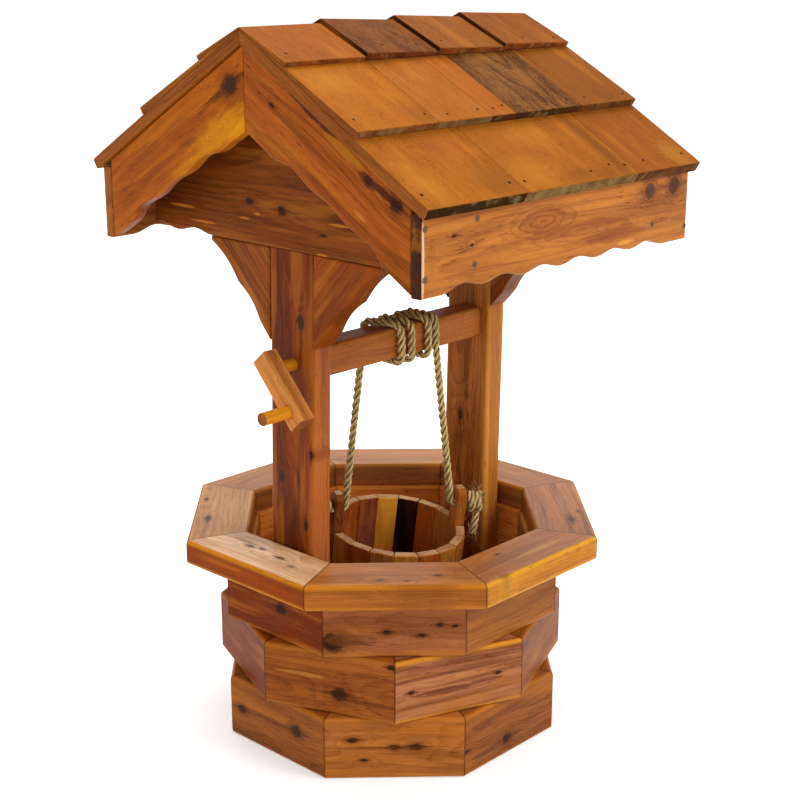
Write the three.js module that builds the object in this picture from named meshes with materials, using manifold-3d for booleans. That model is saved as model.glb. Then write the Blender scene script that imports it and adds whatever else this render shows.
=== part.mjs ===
// Wishing well planter in stained cedar: an eight-sided well of three stacked courses with a
// flat cap, two posts, a shingled gable roof, and a crank roller that lifts a staved bucket.
// Millimetres, +Z up. X runs along the roller and the ridge, the crank is at the -X end.
// The origin is on the ground, at the middle of the well.
import * as THREE from 'three';
import * as BufferGeometryUtils from 'three/addons/utils/BufferGeometryUtils.js';
import Module from 'manifold-3d';

const wasm = await Module();
wasm.setup();

// Stock, fits and easing
const stockWidth = 89;
const stockThick = 38;
const thinStock = 19;
const jointGap = 0.3;
const runningGap = 0.4;
const cutOverrun = 2;
const boardEase = 6;
const thinEase = 2.5;
const arcSteps = 2;

// Well: three courses of eight boards, the middle one turned by half a sector, and the cap
const ringSides = 8;
const courseCount = 3;
const courseApothem = 248;
const courseHeight = 97;
const capInset = 5.8;

// Posts, headers and braces
const headerSeatZ = 764;
const headerHeight = 184;
const headerWaveDepth = 7;
const headerWaveFrom = 170;
const braceDrop = 134;
const braceScallop = 5.5;
// A brace's cusps, as reach from the post and drop below the header
const braceCusps = [[127, 6], [68, 60], [22, 110]];
// The posts lean towards +X above the cap, and carry the roof by this much off the middle
const frameShift = 10;

// Roof: pitch is rise over run, gables and eaves are the outer faces of their boards
const roofPitch = 0.59;
const ridgeUnderZ = 1048.5;
const gableHalf = 288;
const eaveHalf = 319.5;
const fasciaBottomZ = 755.5;
const fasciaDrop = 0.4;
const rakeWidth = 97;
const rakeWaves = { count: 3, crest: 10.5, valley: 6.8 };
const rakeTailFlat = 49;
const fasciaWaves = { count: 6, crest: 9.5, valley: 2.5 };
const fasciaNearFlat = 38;
const fasciaFarFlat = 58;
const waveSteps = 8;
const roofHang = 6;

// Roof rows, from the eave up: solid boards, then two rows of tapered shingles
const deckThick = 16;
const deckLength = 380;
const shingleThin = 1.2;
const middleButt = 11.3;
const middleLength = 236;
const topButt = 7.5;
const topLength = 86;
const lapLift = 5.5;
const grooveHalf = 0.8;
const grooveShare = 0.8;
const deckJointShares = [0.323, 0.736];
const middleJointShares = [0.257, 0.439, 0.524, 0.774];
const topLapShares = [0.25, 0.497, 0.74];

// Roller, crank and rope winding
const rollerSize = 47;
const rollerY = -4;
const rollerZ = 602;
const rollerPlay = 2;
const dowelRadius = 9.5;
const dowelSides = 24;
const dowelTail = 5;
const dowelSocket = 17;
const crankGap = 20;
const armThick = 26;
const armWidth = 30;
const armLength = 115;
const armEnd = 24;
const armEase = 2;
const armTilt = THREE.MathUtils.degToRad(-42);
const handleReach = 48;
const ropeRadius = 6;
const ropeClear = 0.7;
const windingSides = 6;
const loopSteps = 24;
const backRopeX = -34;
const ropePassX = [-11.4, 10.3, 47.8, 64];

// Bucket, hung from two tall staves
const bucketX = 13;
const rimZ = 300;
const bucketTilt = THREE.MathUtils.degToRad(8);
const bucketTurn = THREE.MathUtils.degToRad(-28);
const bucketRadius = 108;
const bucketHeight = 203;
const staveCount = 18;
const staveThick = 15;
const staveGroove = 1.2;
const bottomThick = 16;
const bottomInset = 12;
const earRise = 60;
const earCorner = 12;
const earHoleDrop = 28;
const earHoleRadius = 8;
const holeSides = 16;
const fallSides = 10;
const fallSteps = 120;
const knotRadius = 17;
const knotTail = 52;
const tailRadius = 4.5;
const leadTurn = 5.9;
const earTurn = 8.2;
const earTurnInset = 5.5;

// Sizes that follow from the ones above
const halfSector = Math.PI / ringSides;
const capZ = courseCount * courseHeight;
const capTopZ = capZ + stockThick;
const capApothem = courseApothem - stockThick + capInset + stockWidth;
const postOuterX = courseApothem - stockThick - jointGap;
const postInnerX = postOuterX - stockThick;
const postMidX = (postOuterX + postInnerX) / 2;
const pitchAngle = Math.atan(roofPitch);
const rollerHalf = rollerSize / 2;
const armInnerX = postOuterX + crankGap;
const armOuterX = armInnerX + armThick;
const fasciaInnerY = eaveHalf - thinStock;
const wavePitch = (2 * gableHalf - fasciaNearFlat - fasciaFarFlat) / fasciaWaves.count;
const rollerShift = leanX(rollerZ);
const ropeOut = rollerHalf + ropeRadius + ropeClear;

const cedar = {
  body: new THREE.MeshStandardMaterial({ color: '#a4602f', roughness: 0.55, metalness: 0 }),
  dark: new THREE.MeshStandardMaterial({ color: '#7b3f1b', roughness: 0.55, metalness: 0 }),
  light: new THREE.MeshStandardMaterial({ color: '#c98238', roughness: 0.55, metalness: 0 }),
  shingle: new THREE.MeshStandardMaterial({ color: '#b9692b', roughness: 0.7, metalness: 0 }),
};
const manila = new THREE.MeshStandardMaterial({ color: '#b09a5a', roughness: 0.95, metalness: 0 });

const well = new THREE.Group();

function addPiece(name, geometry, material, parent = well) {
  const piece = new THREE.Mesh(geometry, material);
  piece.name = name;
  parent.add(piece);
  return piece;
}

// A closed mesh with merged corners, as a solid that can be cut and joined
function solidOf(geometry) {
  const bare = geometry.clone();
  bare.deleteAttribute('normal');
  bare.deleteAttribute('uv');
  const merged = BufferGeometryUtils.mergeVertices(bare);
  return new wasm.Manifold(new wasm.Mesh({
    numProp: 3,
    vertProperties: merged.getAttribute('position').array,
    triVerts: new Uint32Array(merged.getIndex().array),
  }));
}

function geometryOf(solid) {
  const mesh = solid.getMesh();
  const geometry = new THREE.BufferGeometry();
  geometry.setAttribute('position', new THREE.BufferAttribute(mesh.vertProperties, mesh.numProp));
  geometry.setIndex(new THREE.BufferAttribute(mesh.triVerts, 1));
  return geometry;
}

function easedRectangle(left, bottom, right, top, ease) {
  const outline = new THREE.Shape();
  outline.moveTo(left + ease, bottom);
  outline.lineTo(right - ease, bottom);
  outline.absarc(right - ease, bottom + ease, ease, -Math.PI / 2, 0, false);
  outline.lineTo(right, top - ease);
  outline.absarc(right - ease, top - ease, ease, 0, Math.PI / 2, false);
  outline.lineTo(left + ease, top);
  outline.absarc(left + ease, top - ease, ease, Math.PI / 2, Math.PI, false);
  outline.lineTo(left, bottom + ease);
  outline.absarc(left + ease, bottom + ease, ease, Math.PI, 3 * Math.PI / 2, false);
  return outline;
}

// A sawn board with all its edges eased, its outline kept true
function sawnBoard(outline, thickness, ease) {
  const board = new THREE.ExtrudeGeometry(outline, {
    depth: thickness - 2 * ease,
    bevelEnabled: true,
    bevelThickness: ease,
    bevelSize: ease,
    bevelOffset: -ease,
    bevelSegments: arcSteps,
    curveSegments: arcSteps,
  });
  return board.translate(0, 0, ease);
}

const alongX = new THREE.Vector3(1, 0, 0);
const alongY = new THREE.Vector3(0, 1, 0);
const alongZ = new THREE.Vector3(0, 0, 1);
// Outlines drawn in Y and Z, swept along +X, and outlines drawn in X and Z, swept along -Y
const outlineInYZ = new THREE.Matrix4().makeBasis(alongY, alongZ, alongX);
const outlineInXZ = new THREE.Matrix4().makeBasis(alongX, alongZ, alongY.clone().negate());

// A round bar or bore along X, of which every side clears the radius where it is a bore
function roundAlongX(radius, fromX, toX, y, z, clear = 0) {
  const reach = clear > 0 ? (radius + clear) / Math.cos(Math.PI / dowelSides) : radius;
  const bar = new THREE.CylinderGeometry(reach, reach, toX - fromX, dowelSides);
  bar.rotateZ(-Math.PI / 2);
  return bar.translate((fromX + toX) / 2, y, z);
}

// One board of a ring: an eased section swept along X, its ends mitred by half a sector
function mitredBoard(apothem, width, height) {
  const section = easedRectangle(apothem - width, 0, apothem, height, boardEase);
  const board = new THREE.ExtrudeGeometry(section, {
    depth: 1, bevelEnabled: false, curveSegments: arcSteps,
  });
  const place = board.getAttribute('position');
  const halfJoint = jointGap / 2 / Math.cos(halfSector);
  for (let i = 0; i < place.count; i += 1) {
    const outward = place.getX(i);
    const up = place.getY(i);
    const end = place.getZ(i) > 0 ? 1 : -1;
    place.setXYZ(i, end * (outward * Math.tan(halfSector) - halfJoint), outward, up);
  }
  return board;
}

function addRing(name, apothem, width, height, baseZ, turn, material) {
  const board = mitredBoard(apothem, width, height);
  for (let i = 0; i < ringSides; i += 1) {
    const piece = addPiece(`${name}_board_${i + 1}`, board, material);
    piece.rotation.z = turn + 2 * halfSector * i;
    piece.position.z = baseZ;
  }
}

function addWell() {
  for (let i = 0; i < courseCount; i += 1) {
    const turn = i % 2 === 1 ? halfSector : 0;
    addRing(`course_${i + 1}`, courseApothem, stockThick, courseHeight, i * courseHeight, turn,
      cedar.body);
  }
  addRing('cap', capApothem, stockWidth, stockThick, capZ, 0, cedar.body);
}

// The lean of the posts: none up to the cap, then evenly up to the header's seat
function leanX(z) {
  return frameShift * THREE.MathUtils.clamp((z - capTopZ) / (headerSeatZ - capTopZ), 0, 1);
}

function leanOver(geometry) {
  const place = geometry.getAttribute('position');
  for (let i = 0; i < place.count; i += 1) {
    place.setX(i, place.getX(i) + leanX(place.getZ(i)));
  }
  return geometry;
}

// A post in two lengths, upright in the well and leaning above it, bored for the roller's dowel
function addPost(name, side) {
  const section = easedRectangle(
    side * postMidX - stockThick / 2, -stockWidth / 2,
    side * postMidX + stockThick / 2, stockWidth / 2, boardEase);
  const blank = new THREE.ExtrudeGeometry(section, {
    depth: headerSeatZ, steps: 2, bevelEnabled: false, curveSegments: arcSteps,
  });
  const place = blank.getAttribute('position');
  for (let i = 0; i < place.count; i += 1) {
    if (place.getZ(i) > 0 && place.getZ(i) < headerSeatZ) place.setZ(i, capTopZ);
  }
  leanOver(blank);
  const midX = side * postMidX + rollerShift;
  const bore = roundAlongX(dowelRadius, midX - stockThick, midX + stockThick, rollerY, rollerZ,
    runningGap);
  addPiece(name, geometryOf(solidOf(blank).subtract(solidOf(bore))), cedar.dark);
}

// The roof boards' underside, at a distance from the ridge
function roofUnderZ(y) {
  return ridgeUnderZ - roofPitch * Math.abs(y);
}

// A waved edge, as rises above the board's lowest line. It climbs from the flat to its first
// crest, falls back only to the valleys between crests, and comes down to the flat at its end
function waveRise(along, from, waves) {
  const turns = (along - from) / wavePitch;
  if (turns <= 0 || turns >= waves.count) return 0;
  const low = turns < 0.5 || turns > waves.count - 0.5 ? 0 : waves.valley;
  return waves.crest - (waves.crest - low) * (1 + Math.cos(2 * Math.PI * turns)) / 2;
}

function wavePlaces(from, count) {
  const places = [];
  for (let i = 0; i <= count * waveSteps; i += 1) {
    places.push(from + i * wavePitch / waveSteps);
  }
  return places;
}

// The gable header fills the gap between the fascias. The posts and braces stand under its
// straight middle, and its free ends are waved below and clipped to the roof above
function headerOutline() {
  const endY = fasciaInnerY - jointGap;
  const topZ = headerSeatZ + headerHeight;
  const shoulderY = (ridgeUnderZ - fasciaDrop - topZ) / roofPitch;
  const lower = [];
  for (let y = headerWaveFrom; y < endY; y += wavePitch / waveSteps) {
    lower.push([y, headerWaveDepth * (1 - Math.cos(2 * Math.PI * (y - headerWaveFrom) / wavePitch)) / 2]);
  }
  const outline = new THREE.Shape();
  outline.moveTo(-endY, roofUnderZ(endY) - fasciaDrop);
  for (const [y, rise] of [...lower].reverse()) outline.lineTo(-y, headerSeatZ + rise);
  for (const [y, rise] of lower) outline.lineTo(y, headerSeatZ + rise);
  outline.lineTo(endY, roofUnderZ(endY) - fasciaDrop);
  outline.lineTo(shoulderY, topZ);
  outline.lineTo(-shoulderY, topZ);
  return outline;
}

function addHeader(name, side) {
  const header = sawnBoard(headerOutline(), stockThick, thinEase);
  header.applyMatrix4(outlineInYZ);
  header.translate(side * postMidX - stockThick / 2 + frameShift, 0, 0);
  addPiece(name, header, cedar.dark);
}

// A brace's long edge is cut in two hollow scallops between cusps, and its foot straight
function braceOutline(side) {
  const innerY = stockWidth / 2 + jointGap;
  const topZ = headerSeatZ - jointGap;
  const outline = new THREE.Shape();
  outline.moveTo(side * innerY, topZ);
  outline.lineTo(side * (innerY + braceCusps[0][0]), topZ);
  for (let i = 0; i + 1 < braceCusps.length; i += 1) {
    const [reach, drop] = braceCusps[i];
    const [nextReach, nextDrop] = braceCusps[i + 1];
    const slant = Math.hypot(nextReach - reach, nextDrop - drop);
    for (let j = 0; j <= waveSteps; j += 1) {
      const hollow = braceScallop * Math.sin(Math.PI * j / waveSteps) / slant;
      const y = THREE.MathUtils.lerp(reach, nextReach, j / waveSteps) - hollow * (nextDrop - drop);
      const z = THREE.MathUtils.lerp(drop, nextDrop, j / waveSteps) + hollow * (nextReach - reach);
      outline.lineTo(side * (innerY + y), topZ - z);
    }
  }
  outline.lineTo(side * innerY, topZ - braceDrop);
  return outline;
}

function addBrace(name, side, ySide) {
  const brace = sawnBoard(braceOutline(ySide), stockThick, thinEase);
  brace.applyMatrix4(outlineInYZ);
  brace.translate(side * postMidX - stockThick / 2, 0, 0);
  addPiece(name, leanOver(brace), cedar.dark);
}

// A rake board under the end of the roof, plumb cut at the ridge and against the fascia
function rakeOutline(ySide) {
  const startY = jointGap / 2;
  const endY = fasciaInnerY - jointGap;
  const cos = Math.cos(pitchAngle);
  const sin = Math.sin(pitchAngle);
  const topZ = ridgeUnderZ - fasciaDrop;
  const ridgeEnd = (startY + rakeWidth * sin) / cos;
  const eaveEnd = (endY + rakeWidth * sin) / cos;
  const waveFrom = eaveEnd - rakeTailFlat - rakeWaves.count * wavePitch;
  const outline = new THREE.Shape();
  outline.moveTo(ySide * startY, topZ - roofPitch * startY);
  for (const along of [ridgeEnd, ...wavePlaces(waveFrom, rakeWaves.count), eaveEnd]) {
    const down = rakeWidth - waveRise(along, waveFrom, rakeWaves);
    const y = THREE.MathUtils.clamp(along * cos - down * sin, startY, endY);
    outline.lineTo(ySide * y, topZ - along * sin - down * cos);
  }
  outline.lineTo(ySide * endY, topZ - roofPitch * endY);
  return outline;
}

function addRake(name, side, ySide) {
  const rake = sawnBoard(rakeOutline(ySide), thinStock, thinEase);
  rake.applyMatrix4(outlineInYZ);
  rake.translate(frameShift + (side > 0 ? gableHalf - thinStock : -gableHalf), 0, 0);
  addPiece(name, rake, cedar.light);
}

// A fascia along the eave, its lower edge waved between two flat ends
function addFascia(name, ySide) {
  const topZ = roofUnderZ(eaveHalf) - fasciaDrop;
  const nearX = frameShift - gableHalf;
  const farX = frameShift + gableHalf;
  const waveFrom = nearX + fasciaNearFlat;
  const outline = new THREE.Shape();
  outline.moveTo(nearX, fasciaBottomZ);
  for (const x of wavePlaces(waveFrom, fasciaWaves.count)) {
    outline.lineTo(x, fasciaBottomZ + waveRise(x, waveFrom, fasciaWaves));
  }
  outline.lineTo(farX, fasciaBottomZ);
  outline.lineTo(farX, topZ);
  outline.lineTo(nearX, topZ);
  const fascia = sawnBoard(outline, thinStock, thinEase);
  fascia.applyMatrix4(outlineInXZ);
  fascia.translate(0, ySide > 0 ? eaveHalf : -fasciaInnerY, 0);
  addPiece(name, fascia, cedar.light);
}

// A row's section across the boards: X along the ridge, and level 0 for the underside, 1 for
// the top of a board and 2 for the raised edge of a board that laps its neighbour
function jointedProfile(shares, nearX, farX) {
  const profile = new THREE.Shape();
  profile.moveTo(nearX, 0);
  profile.lineTo(farX, 0);
  profile.lineTo(farX, 1);
  for (const share of [...shares].reverse()) {
    const x = THREE.MathUtils.lerp(nearX, farX, share);
    profile.lineTo(x + grooveHalf, 1);
    profile.lineTo(x, grooveShare);
    profile.lineTo(x - grooveHalf, 1);
  }
  profile.lineTo(nearX, 1);
  return profile;
}

function lappedProfile(shares, nearX, farX) {
  const profile = new THREE.Shape();
  profile.moveTo(nearX, 0);
  profile.lineTo(farX, 0);
  profile.lineTo(farX, 1);
  for (const share of [...shares].reverse()) {
    const x = THREE.MathUtils.lerp(nearX, farX, share);
    profile.lineTo(x, 2);
    profile.lineTo(x, 1);
  }
  profile.lineTo(nearX, 1);
  return profile;
}

// A roof row: its section runs down the slope from a plumb cut at the ridge to a square butt.
// under(along) is the height of the surface below, thick(along) the row's own thickness there
function roofRow(profile, length, under, thick) {
  const row = new THREE.ExtrudeGeometry(profile, { depth: 1, bevelEnabled: false });
  const cos = Math.cos(pitchAngle);
  const sin = Math.sin(pitchAngle);
  const place = row.getAttribute('position');
  for (let i = 0; i < place.count; i += 1) {
    const level = place.getY(i);
    const atButt = place.getZ(i) > 0;
    const near = atButt ? length : 0;
    const out = under(near) + thick(near) * Math.min(level, 1) + lapLift * Math.max(level - 1, 0);
    const along = atButt ? length : (jointGap / 2 - out * sin) / cos;
    place.setXYZ(i, place.getX(i), -along * cos - out * sin, ridgeUnderZ - along * sin + out * cos);
  }
  return row;
}

// The back slope is the front one mirrored, with its joints at the same places along X
function addRoofSide(name, ySide) {
  const nearX = frameShift - gableHalf - roofHang;
  const farX = frameShift + gableHalf + roofHang;
  const middleUnder = deckThick + jointGap;
  const middleThick = (along) => THREE.MathUtils.lerp(shingleThin, middleButt, along / middleLength);
  const topUnder = (along) => middleUnder + middleThick(along) + jointGap;
  const topThick = (along) => THREE.MathUtils.lerp(shingleThin, topButt, along / topLength);
  const rows = [
    [`${name}_roof_boards`, jointedProfile(deckJointShares, nearX, farX), deckLength,
      () => 0, () => deckThick],
    [`${name}_middle_shingles`, jointedProfile(middleJointShares, nearX, farX), middleLength,
      () => middleUnder, middleThick],
    [`${name}_ridge_shingles`, lappedProfile(topLapShares, nearX, farX), topLength,
      topUnder, topThick],
  ];
  for (const [rowName, profile, length, under, thick] of rows) {
    const row = roofRow(profile, length, under, thick);
    const placed = ySide < 0 ? row : geometryOf(solidOf(row).mirror([0, 1, 0]));
    addPiece(rowName, placed, cedar.shingle);
  }
}

// The square roller with its glued dowel, which turns in the posts and ends in the crank's arm
function addRoller() {
  const section = easedRectangle(rollerY - rollerHalf, rollerZ - rollerHalf,
    rollerY + rollerHalf, rollerZ + rollerHalf, boardEase);
  const half = postInnerX - rollerPlay;
  const block = new THREE.ExtrudeGeometry(section, {
    depth: 2 * half, bevelEnabled: false, curveSegments: arcSteps,
  });
  block.applyMatrix4(outlineInYZ);
  block.translate(rollerShift - half, 0, 0);
  const dowel = roundAlongX(dowelRadius, -armInnerX - dowelSocket,
    postOuterX + rollerShift - dowelTail, rollerY, rollerZ);
  addPiece('roller', geometryOf(solidOf(block).add(solidOf(dowel))), cedar.body);
}

// The crank: an arm bored for the dowel and for the handle, both sockets blind
function addCrank() {
  const crank = new THREE.Group();
  crank.position.set(0, rollerY, rollerZ);
  crank.rotation.x = armTilt;
  well.add(crank);
  const handleZ = armEnd - (armLength - armEnd);
  const outline = new THREE.Shape();
  outline.moveTo(-armWidth / 2, armEnd - armLength);
  outline.lineTo(armWidth / 2, armEnd - armLength);
  outline.lineTo(armWidth / 2, armEnd);
  outline.lineTo(-armWidth / 2, armEnd);
  const arm = sawnBoard(outline, armThick, armEase);
  arm.applyMatrix4(outlineInYZ);
  arm.translate(-armOuterX, 0, 0);
  const dowelBore = roundAlongX(dowelRadius, -armInnerX - dowelSocket - jointGap,
    -armInnerX + cutOverrun, 0, 0, jointGap);
  const handleBore = roundAlongX(dowelRadius, -armOuterX - cutOverrun,
    -armOuterX + dowelSocket + jointGap, 0, handleZ, jointGap);
  const bored = solidOf(arm).subtract(solidOf(dowelBore)).subtract(solidOf(handleBore));
  addPiece('crank_arm', geometryOf(bored), cedar.light, crank);
  const handle = roundAlongX(dowelRadius, -armOuterX - handleReach, -armOuterX + dowelSocket,
    0, handleZ);
  addPiece('crank_handle', handle, cedar.light, crank);
}

// The rope's centreline round the square roller: up at the back, over the top, down in front
class WindingPath extends THREE.Curve {
  getPoint(share, target = new THREE.Vector3()) {
    const turns = -0.5 + share * (ropePassX.length - 0.5);
    const pass = Math.min(Math.max(Math.floor(turns), -1), ropePassX.length - 2);
    const fromTurn = Math.max(pass, -0.5);
    const fromX = pass < 0 ? backRopeX : ropePassX[pass];
    const eased = THREE.MathUtils.smoothstep(turns, fromTurn, pass + 1);
    const [y, z] = squareLoop(turns - Math.floor(turns));
    return target.set(THREE.MathUtils.lerp(fromX, ropePassX[pass + 1], eased), y, z);
  }
}

// A point on the rounded square that the rope's centre follows, from the middle of the front
// face, down and back under the roller. share is the part of a whole turn
function squareLoop(share) {
  const corner = boardEase + ropeRadius + ropeClear;
  const flat = 2 * (ropeOut - corner);
  const arc = corner * Math.PI / 2;
  const side = flat + arc;
  const walked = share * 4 * side + flat / 2;
  const face = Math.floor(walked / side);
  const rest = walked - face * side;
  const bend = Math.max(rest - flat, 0) / corner;
  const along = -flat / 2 + Math.min(rest, flat) + corner * Math.sin(bend);
  const out = ropeOut - corner * (1 - Math.cos(bend));
  const turn = face * Math.PI / 2;
  const y = -out * Math.cos(turn) + along * Math.sin(turn);
  const z = -along * Math.cos(turn) - out * Math.sin(turn);
  return [rollerY + y, rollerZ + z];
}

function roundSection(radius, sides) {
  const points = [];
  for (let i = 0; i < sides; i += 1) {
    const angle = 2 * Math.PI * i / sides;
    points.push(new THREE.Vector2(radius * Math.cos(angle), radius * Math.sin(angle)));
  }
  return new THREE.Shape(points);
}

// The least gap between turns that lie beside each other, measured on points of the centreline
function leastSelfGap(path, count, apart) {
  const points = path.getPoints(count);
  let least = Infinity;
  for (let i = 0; i < points.length; i += 1) {
    for (let j = i + apart; j < points.length; j += 1) {
      least = Math.min(least, points[i].distanceTo(points[j]));
    }
  }
  return least - 2 * ropeRadius;
}

function addWinding() {
  const path = new WindingPath();
  const turns = ropePassX.length - 0.5;
  path.arcLengthDivisions = loopSteps * loopSteps * turns;
  const winding = new THREE.ExtrudeGeometry(roundSection(ropeRadius, windingSides), {
    steps: loopSteps * turns, bevelEnabled: false, extrudePath: path,
  });
  addPiece('rope_winding', winding, manila);
  const gap = leastSelfGap(path, 4 * loopSteps * turns, 3 * loopSteps);
  console.log(`rope_winding least gap between turns ${gap.toFixed(2)} mm`);
}

const bucketPlace = new THREE.Matrix4()
  .makeTranslation(bucketX, 0, rimZ)
  .multiply(new THREE.Matrix4().makeRotationX(bucketTilt))
  .multiply(new THREE.Matrix4().makeRotationZ(bucketTurn));

// The staved wall from above: flat staves with a small groove at each joint
function staveRing(apothem, grooveOut) {
  const points = [];
  const half = Math.PI / staveCount;
  for (let i = 0; i < staveCount; i += 1) {
    const joint = 2 * half * i + half;
    const corner = apothem / Math.cos(half);
    const slip = staveGroove / apothem;
    points.push(
      [corner, joint - slip], [corner - grooveOut * staveGroove, joint], [corner, joint + slip]);
  }
  return points.map(([reach, angle]) => (
    new THREE.Vector2(reach * Math.cos(angle), reach * Math.sin(angle))));
}

// A tall stave with rounded top corners and a rope hole, from below the rim upwards
function earSolid(side) {
  const halfWidth = (bucketRadius - staveThick) * Math.tan(Math.PI / staveCount) - jointGap;
  const outline = new THREE.Shape();
  outline.moveTo(-halfWidth, -earRise);
  outline.lineTo(halfWidth, -earRise);
  outline.lineTo(halfWidth, earRise - earCorner);
  outline.absarc(halfWidth - earCorner, earRise - earCorner, earCorner, 0, Math.PI / 2, false);
  outline.absarc(earCorner - halfWidth, earRise - earCorner, earCorner, Math.PI / 2, Math.PI, false);
  const ear = new THREE.ExtrudeGeometry(outline, {
    depth: staveThick, bevelEnabled: false, curveSegments: arcSteps,
  });
  ear.applyMatrix4(outlineInYZ);
  ear.translate(side > 0 ? bucketRadius - staveThick : -bucketRadius, 0, 0);
  const hole = new THREE.CylinderGeometry(earHoleRadius, earHoleRadius,
    staveThick + 2 * cutOverrun, holeSides);
  hole.rotateZ(-Math.PI / 2);
  hole.translate(side * (bucketRadius - staveThick / 2), 0, earRise - earHoleDrop);
  return solidOf(ear).subtract(solidOf(hole));
}

function addBucket() {
  const wall = new THREE.Shape(staveRing(bucketRadius, 1));
  wall.holes.push(new THREE.Path(staveRing(bucketRadius - staveThick, -1)));
  const ring = new THREE.ExtrudeGeometry(wall, { depth: bucketHeight, bevelEnabled: false });
  ring.translate(0, 0, -bucketHeight);
  const staves = solidOf(ring).add(earSolid(1)).add(earSolid(-1));
  const wallPiece = addPiece('bucket_staves', geometryOf(staves), cedar.light);
  const half = Math.PI / staveCount;
  const discReach = (bucketRadius - staveThick - jointGap - staveGroove) / Math.cos(half);
  const disc = new THREE.CylinderGeometry(discReach, discReach, bottomThick, staveCount);
  disc.rotateX(Math.PI / 2);
  disc.rotateZ(half);
  disc.translate(0, 0, bottomInset + bottomThick / 2 - bucketHeight);
  const discPiece = addPiece('bucket_bottom', disc, cedar.dark);
  for (const piece of [wallPiece, discPiece]) {
    piece.applyMatrix4(bucketPlace);
  }
}

// A path of straight lengths through the points, turning over a given reach at each inner one
function turningPath(points, reaches) {
  const path = new THREE.CurvePath();
  let from = points[0];
  for (let i = 1; i + 1 < points.length; i += 1) {
    const corner = points[i];
    const before = corner.clone().sub(points[i - 1]).setLength(reaches[i - 1]);
    const after = points[i + 1].clone().sub(corner).setLength(reaches[i - 1]);
    const turnFrom = corner.clone().sub(before);
    const turnTo = corner.clone().add(after);
    path.add(new THREE.LineCurve3(from, turnFrom));
    path.add(new THREE.QuadraticBezierCurve3(turnFrom, corner, turnTo));
    from = turnTo;
  }
  path.add(new THREE.LineCurve3(from, points[points.length - 1]));
  return path;
}

// A rope fall: down off the roller, straight to its ear, and out through the hole into a knot
function addFall(name, side, topX, topY) {
  const ear = (reach) => (
    new THREE.Vector3(side * reach, 0, earRise - earHoleDrop).applyMatrix4(bucketPlace));
  const top = new THREE.Vector3(topX, topY, rollerZ - jointGap / 2);
  const lead = new THREE.Vector3(topX, topY, rollerZ - 2 * ropeRadius);
  const knotSeat = Math.sqrt((knotRadius + jointGap) ** 2 - earHoleRadius ** 2);
  const knotAt = ear(bucketRadius + knotSeat);
  const earTurnAt = ear(bucketRadius - staveThick - earTurnInset);
  const path = turningPath([top, lead, earTurnAt, knotAt], [leadTurn, earTurn]);
  const rope = new THREE.ExtrudeGeometry(roundSection(ropeRadius, fallSides), {
    steps: fallSteps, bevelEnabled: false, extrudePath: path,
  });
  const knot = new THREE.SphereGeometry(knotRadius, 2 * fallSides, fallSides);
  knot.translate(knotAt.x, knotAt.y, knotAt.z);
  const tail = new THREE.CylinderGeometry(tailRadius, tailRadius, knotTail, fallSides);
  tail.rotateX(Math.PI / 2);
  tail.translate(knotAt.x, knotAt.y, knotAt.z - knotTail / 2);
  const joined = solidOf(rope).add(solidOf(knot)).add(solidOf(tail));
  addPiece(name, geometryOf(joined), manila);
  console.log(`${name} length ${(path.getLength() / 10).toFixed(1)} cm to the knot's middle`);
}

function addRoofFrame() {
  for (const [end, side] of [['crank', -1], ['far', 1]]) {
    addPost(`${end}_post`, side);
    addHeader(`${end}_gable_header`, side);
    for (const [slope, ySide] of [['front', -1], ['back', 1]]) {
      addBrace(`${end}_${slope}_brace`, side, ySide);
      addRake(`${end}_${slope}_rake`, side, ySide);
    }
  }
  for (const [slope, ySide] of [['front', -1], ['back', 1]]) {
    addFascia(`${slope}_fascia`, ySide);
    addRoofSide(slope, ySide);
  }
}

addWell();
addRoofFrame();
addRoller();
addCrank();
addWinding();
addBucket();
addFall('back_rope_fall', -1, backRopeX, rollerY + ropeOut);
addFall('front_rope_fall', 1, ropePassX[ropePassX.length - 1], rollerY - ropeOut);

export default well;
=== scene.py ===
"""Wishing well planter in stained red cedar: its looks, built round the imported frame.

Every piece is in metres in the frame's own axes: X runs along the roller and the ridge, with the
crank at the -X end, and +Z is up. Lengths whose names end in _mm are millimetres.
"""

import logging
import math
from dataclasses import dataclass, field, replace
from enum import Enum

import bpy
import numpy as np
from mathutils import Matrix, Vector


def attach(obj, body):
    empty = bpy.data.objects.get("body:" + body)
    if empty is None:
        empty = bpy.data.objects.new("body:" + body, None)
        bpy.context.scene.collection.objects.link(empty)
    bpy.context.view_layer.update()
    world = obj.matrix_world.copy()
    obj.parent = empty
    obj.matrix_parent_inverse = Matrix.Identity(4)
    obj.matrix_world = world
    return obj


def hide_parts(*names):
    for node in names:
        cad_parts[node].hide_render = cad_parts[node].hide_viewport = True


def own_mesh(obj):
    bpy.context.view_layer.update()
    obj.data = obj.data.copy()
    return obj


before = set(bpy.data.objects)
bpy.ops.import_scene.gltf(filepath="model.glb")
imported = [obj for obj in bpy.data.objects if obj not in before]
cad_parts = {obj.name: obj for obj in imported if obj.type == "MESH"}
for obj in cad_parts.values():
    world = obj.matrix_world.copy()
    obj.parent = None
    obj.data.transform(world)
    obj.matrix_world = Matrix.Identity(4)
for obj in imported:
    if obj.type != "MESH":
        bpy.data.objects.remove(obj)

Material = bpy.types.Material
Object = bpy.types.Object
Socket = bpy.types.NodeSocket
Tree = bpy.types.NodeTree

MM = 0.001
FAR_MM = 9000.0
NO_EDGES_MM = (FAR_MM, FAR_MM)
FAR_KNOT = 50.0
ROOF_PITCH = math.atan(0.59)
log = logging.getLogger("wishing_well")


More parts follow.
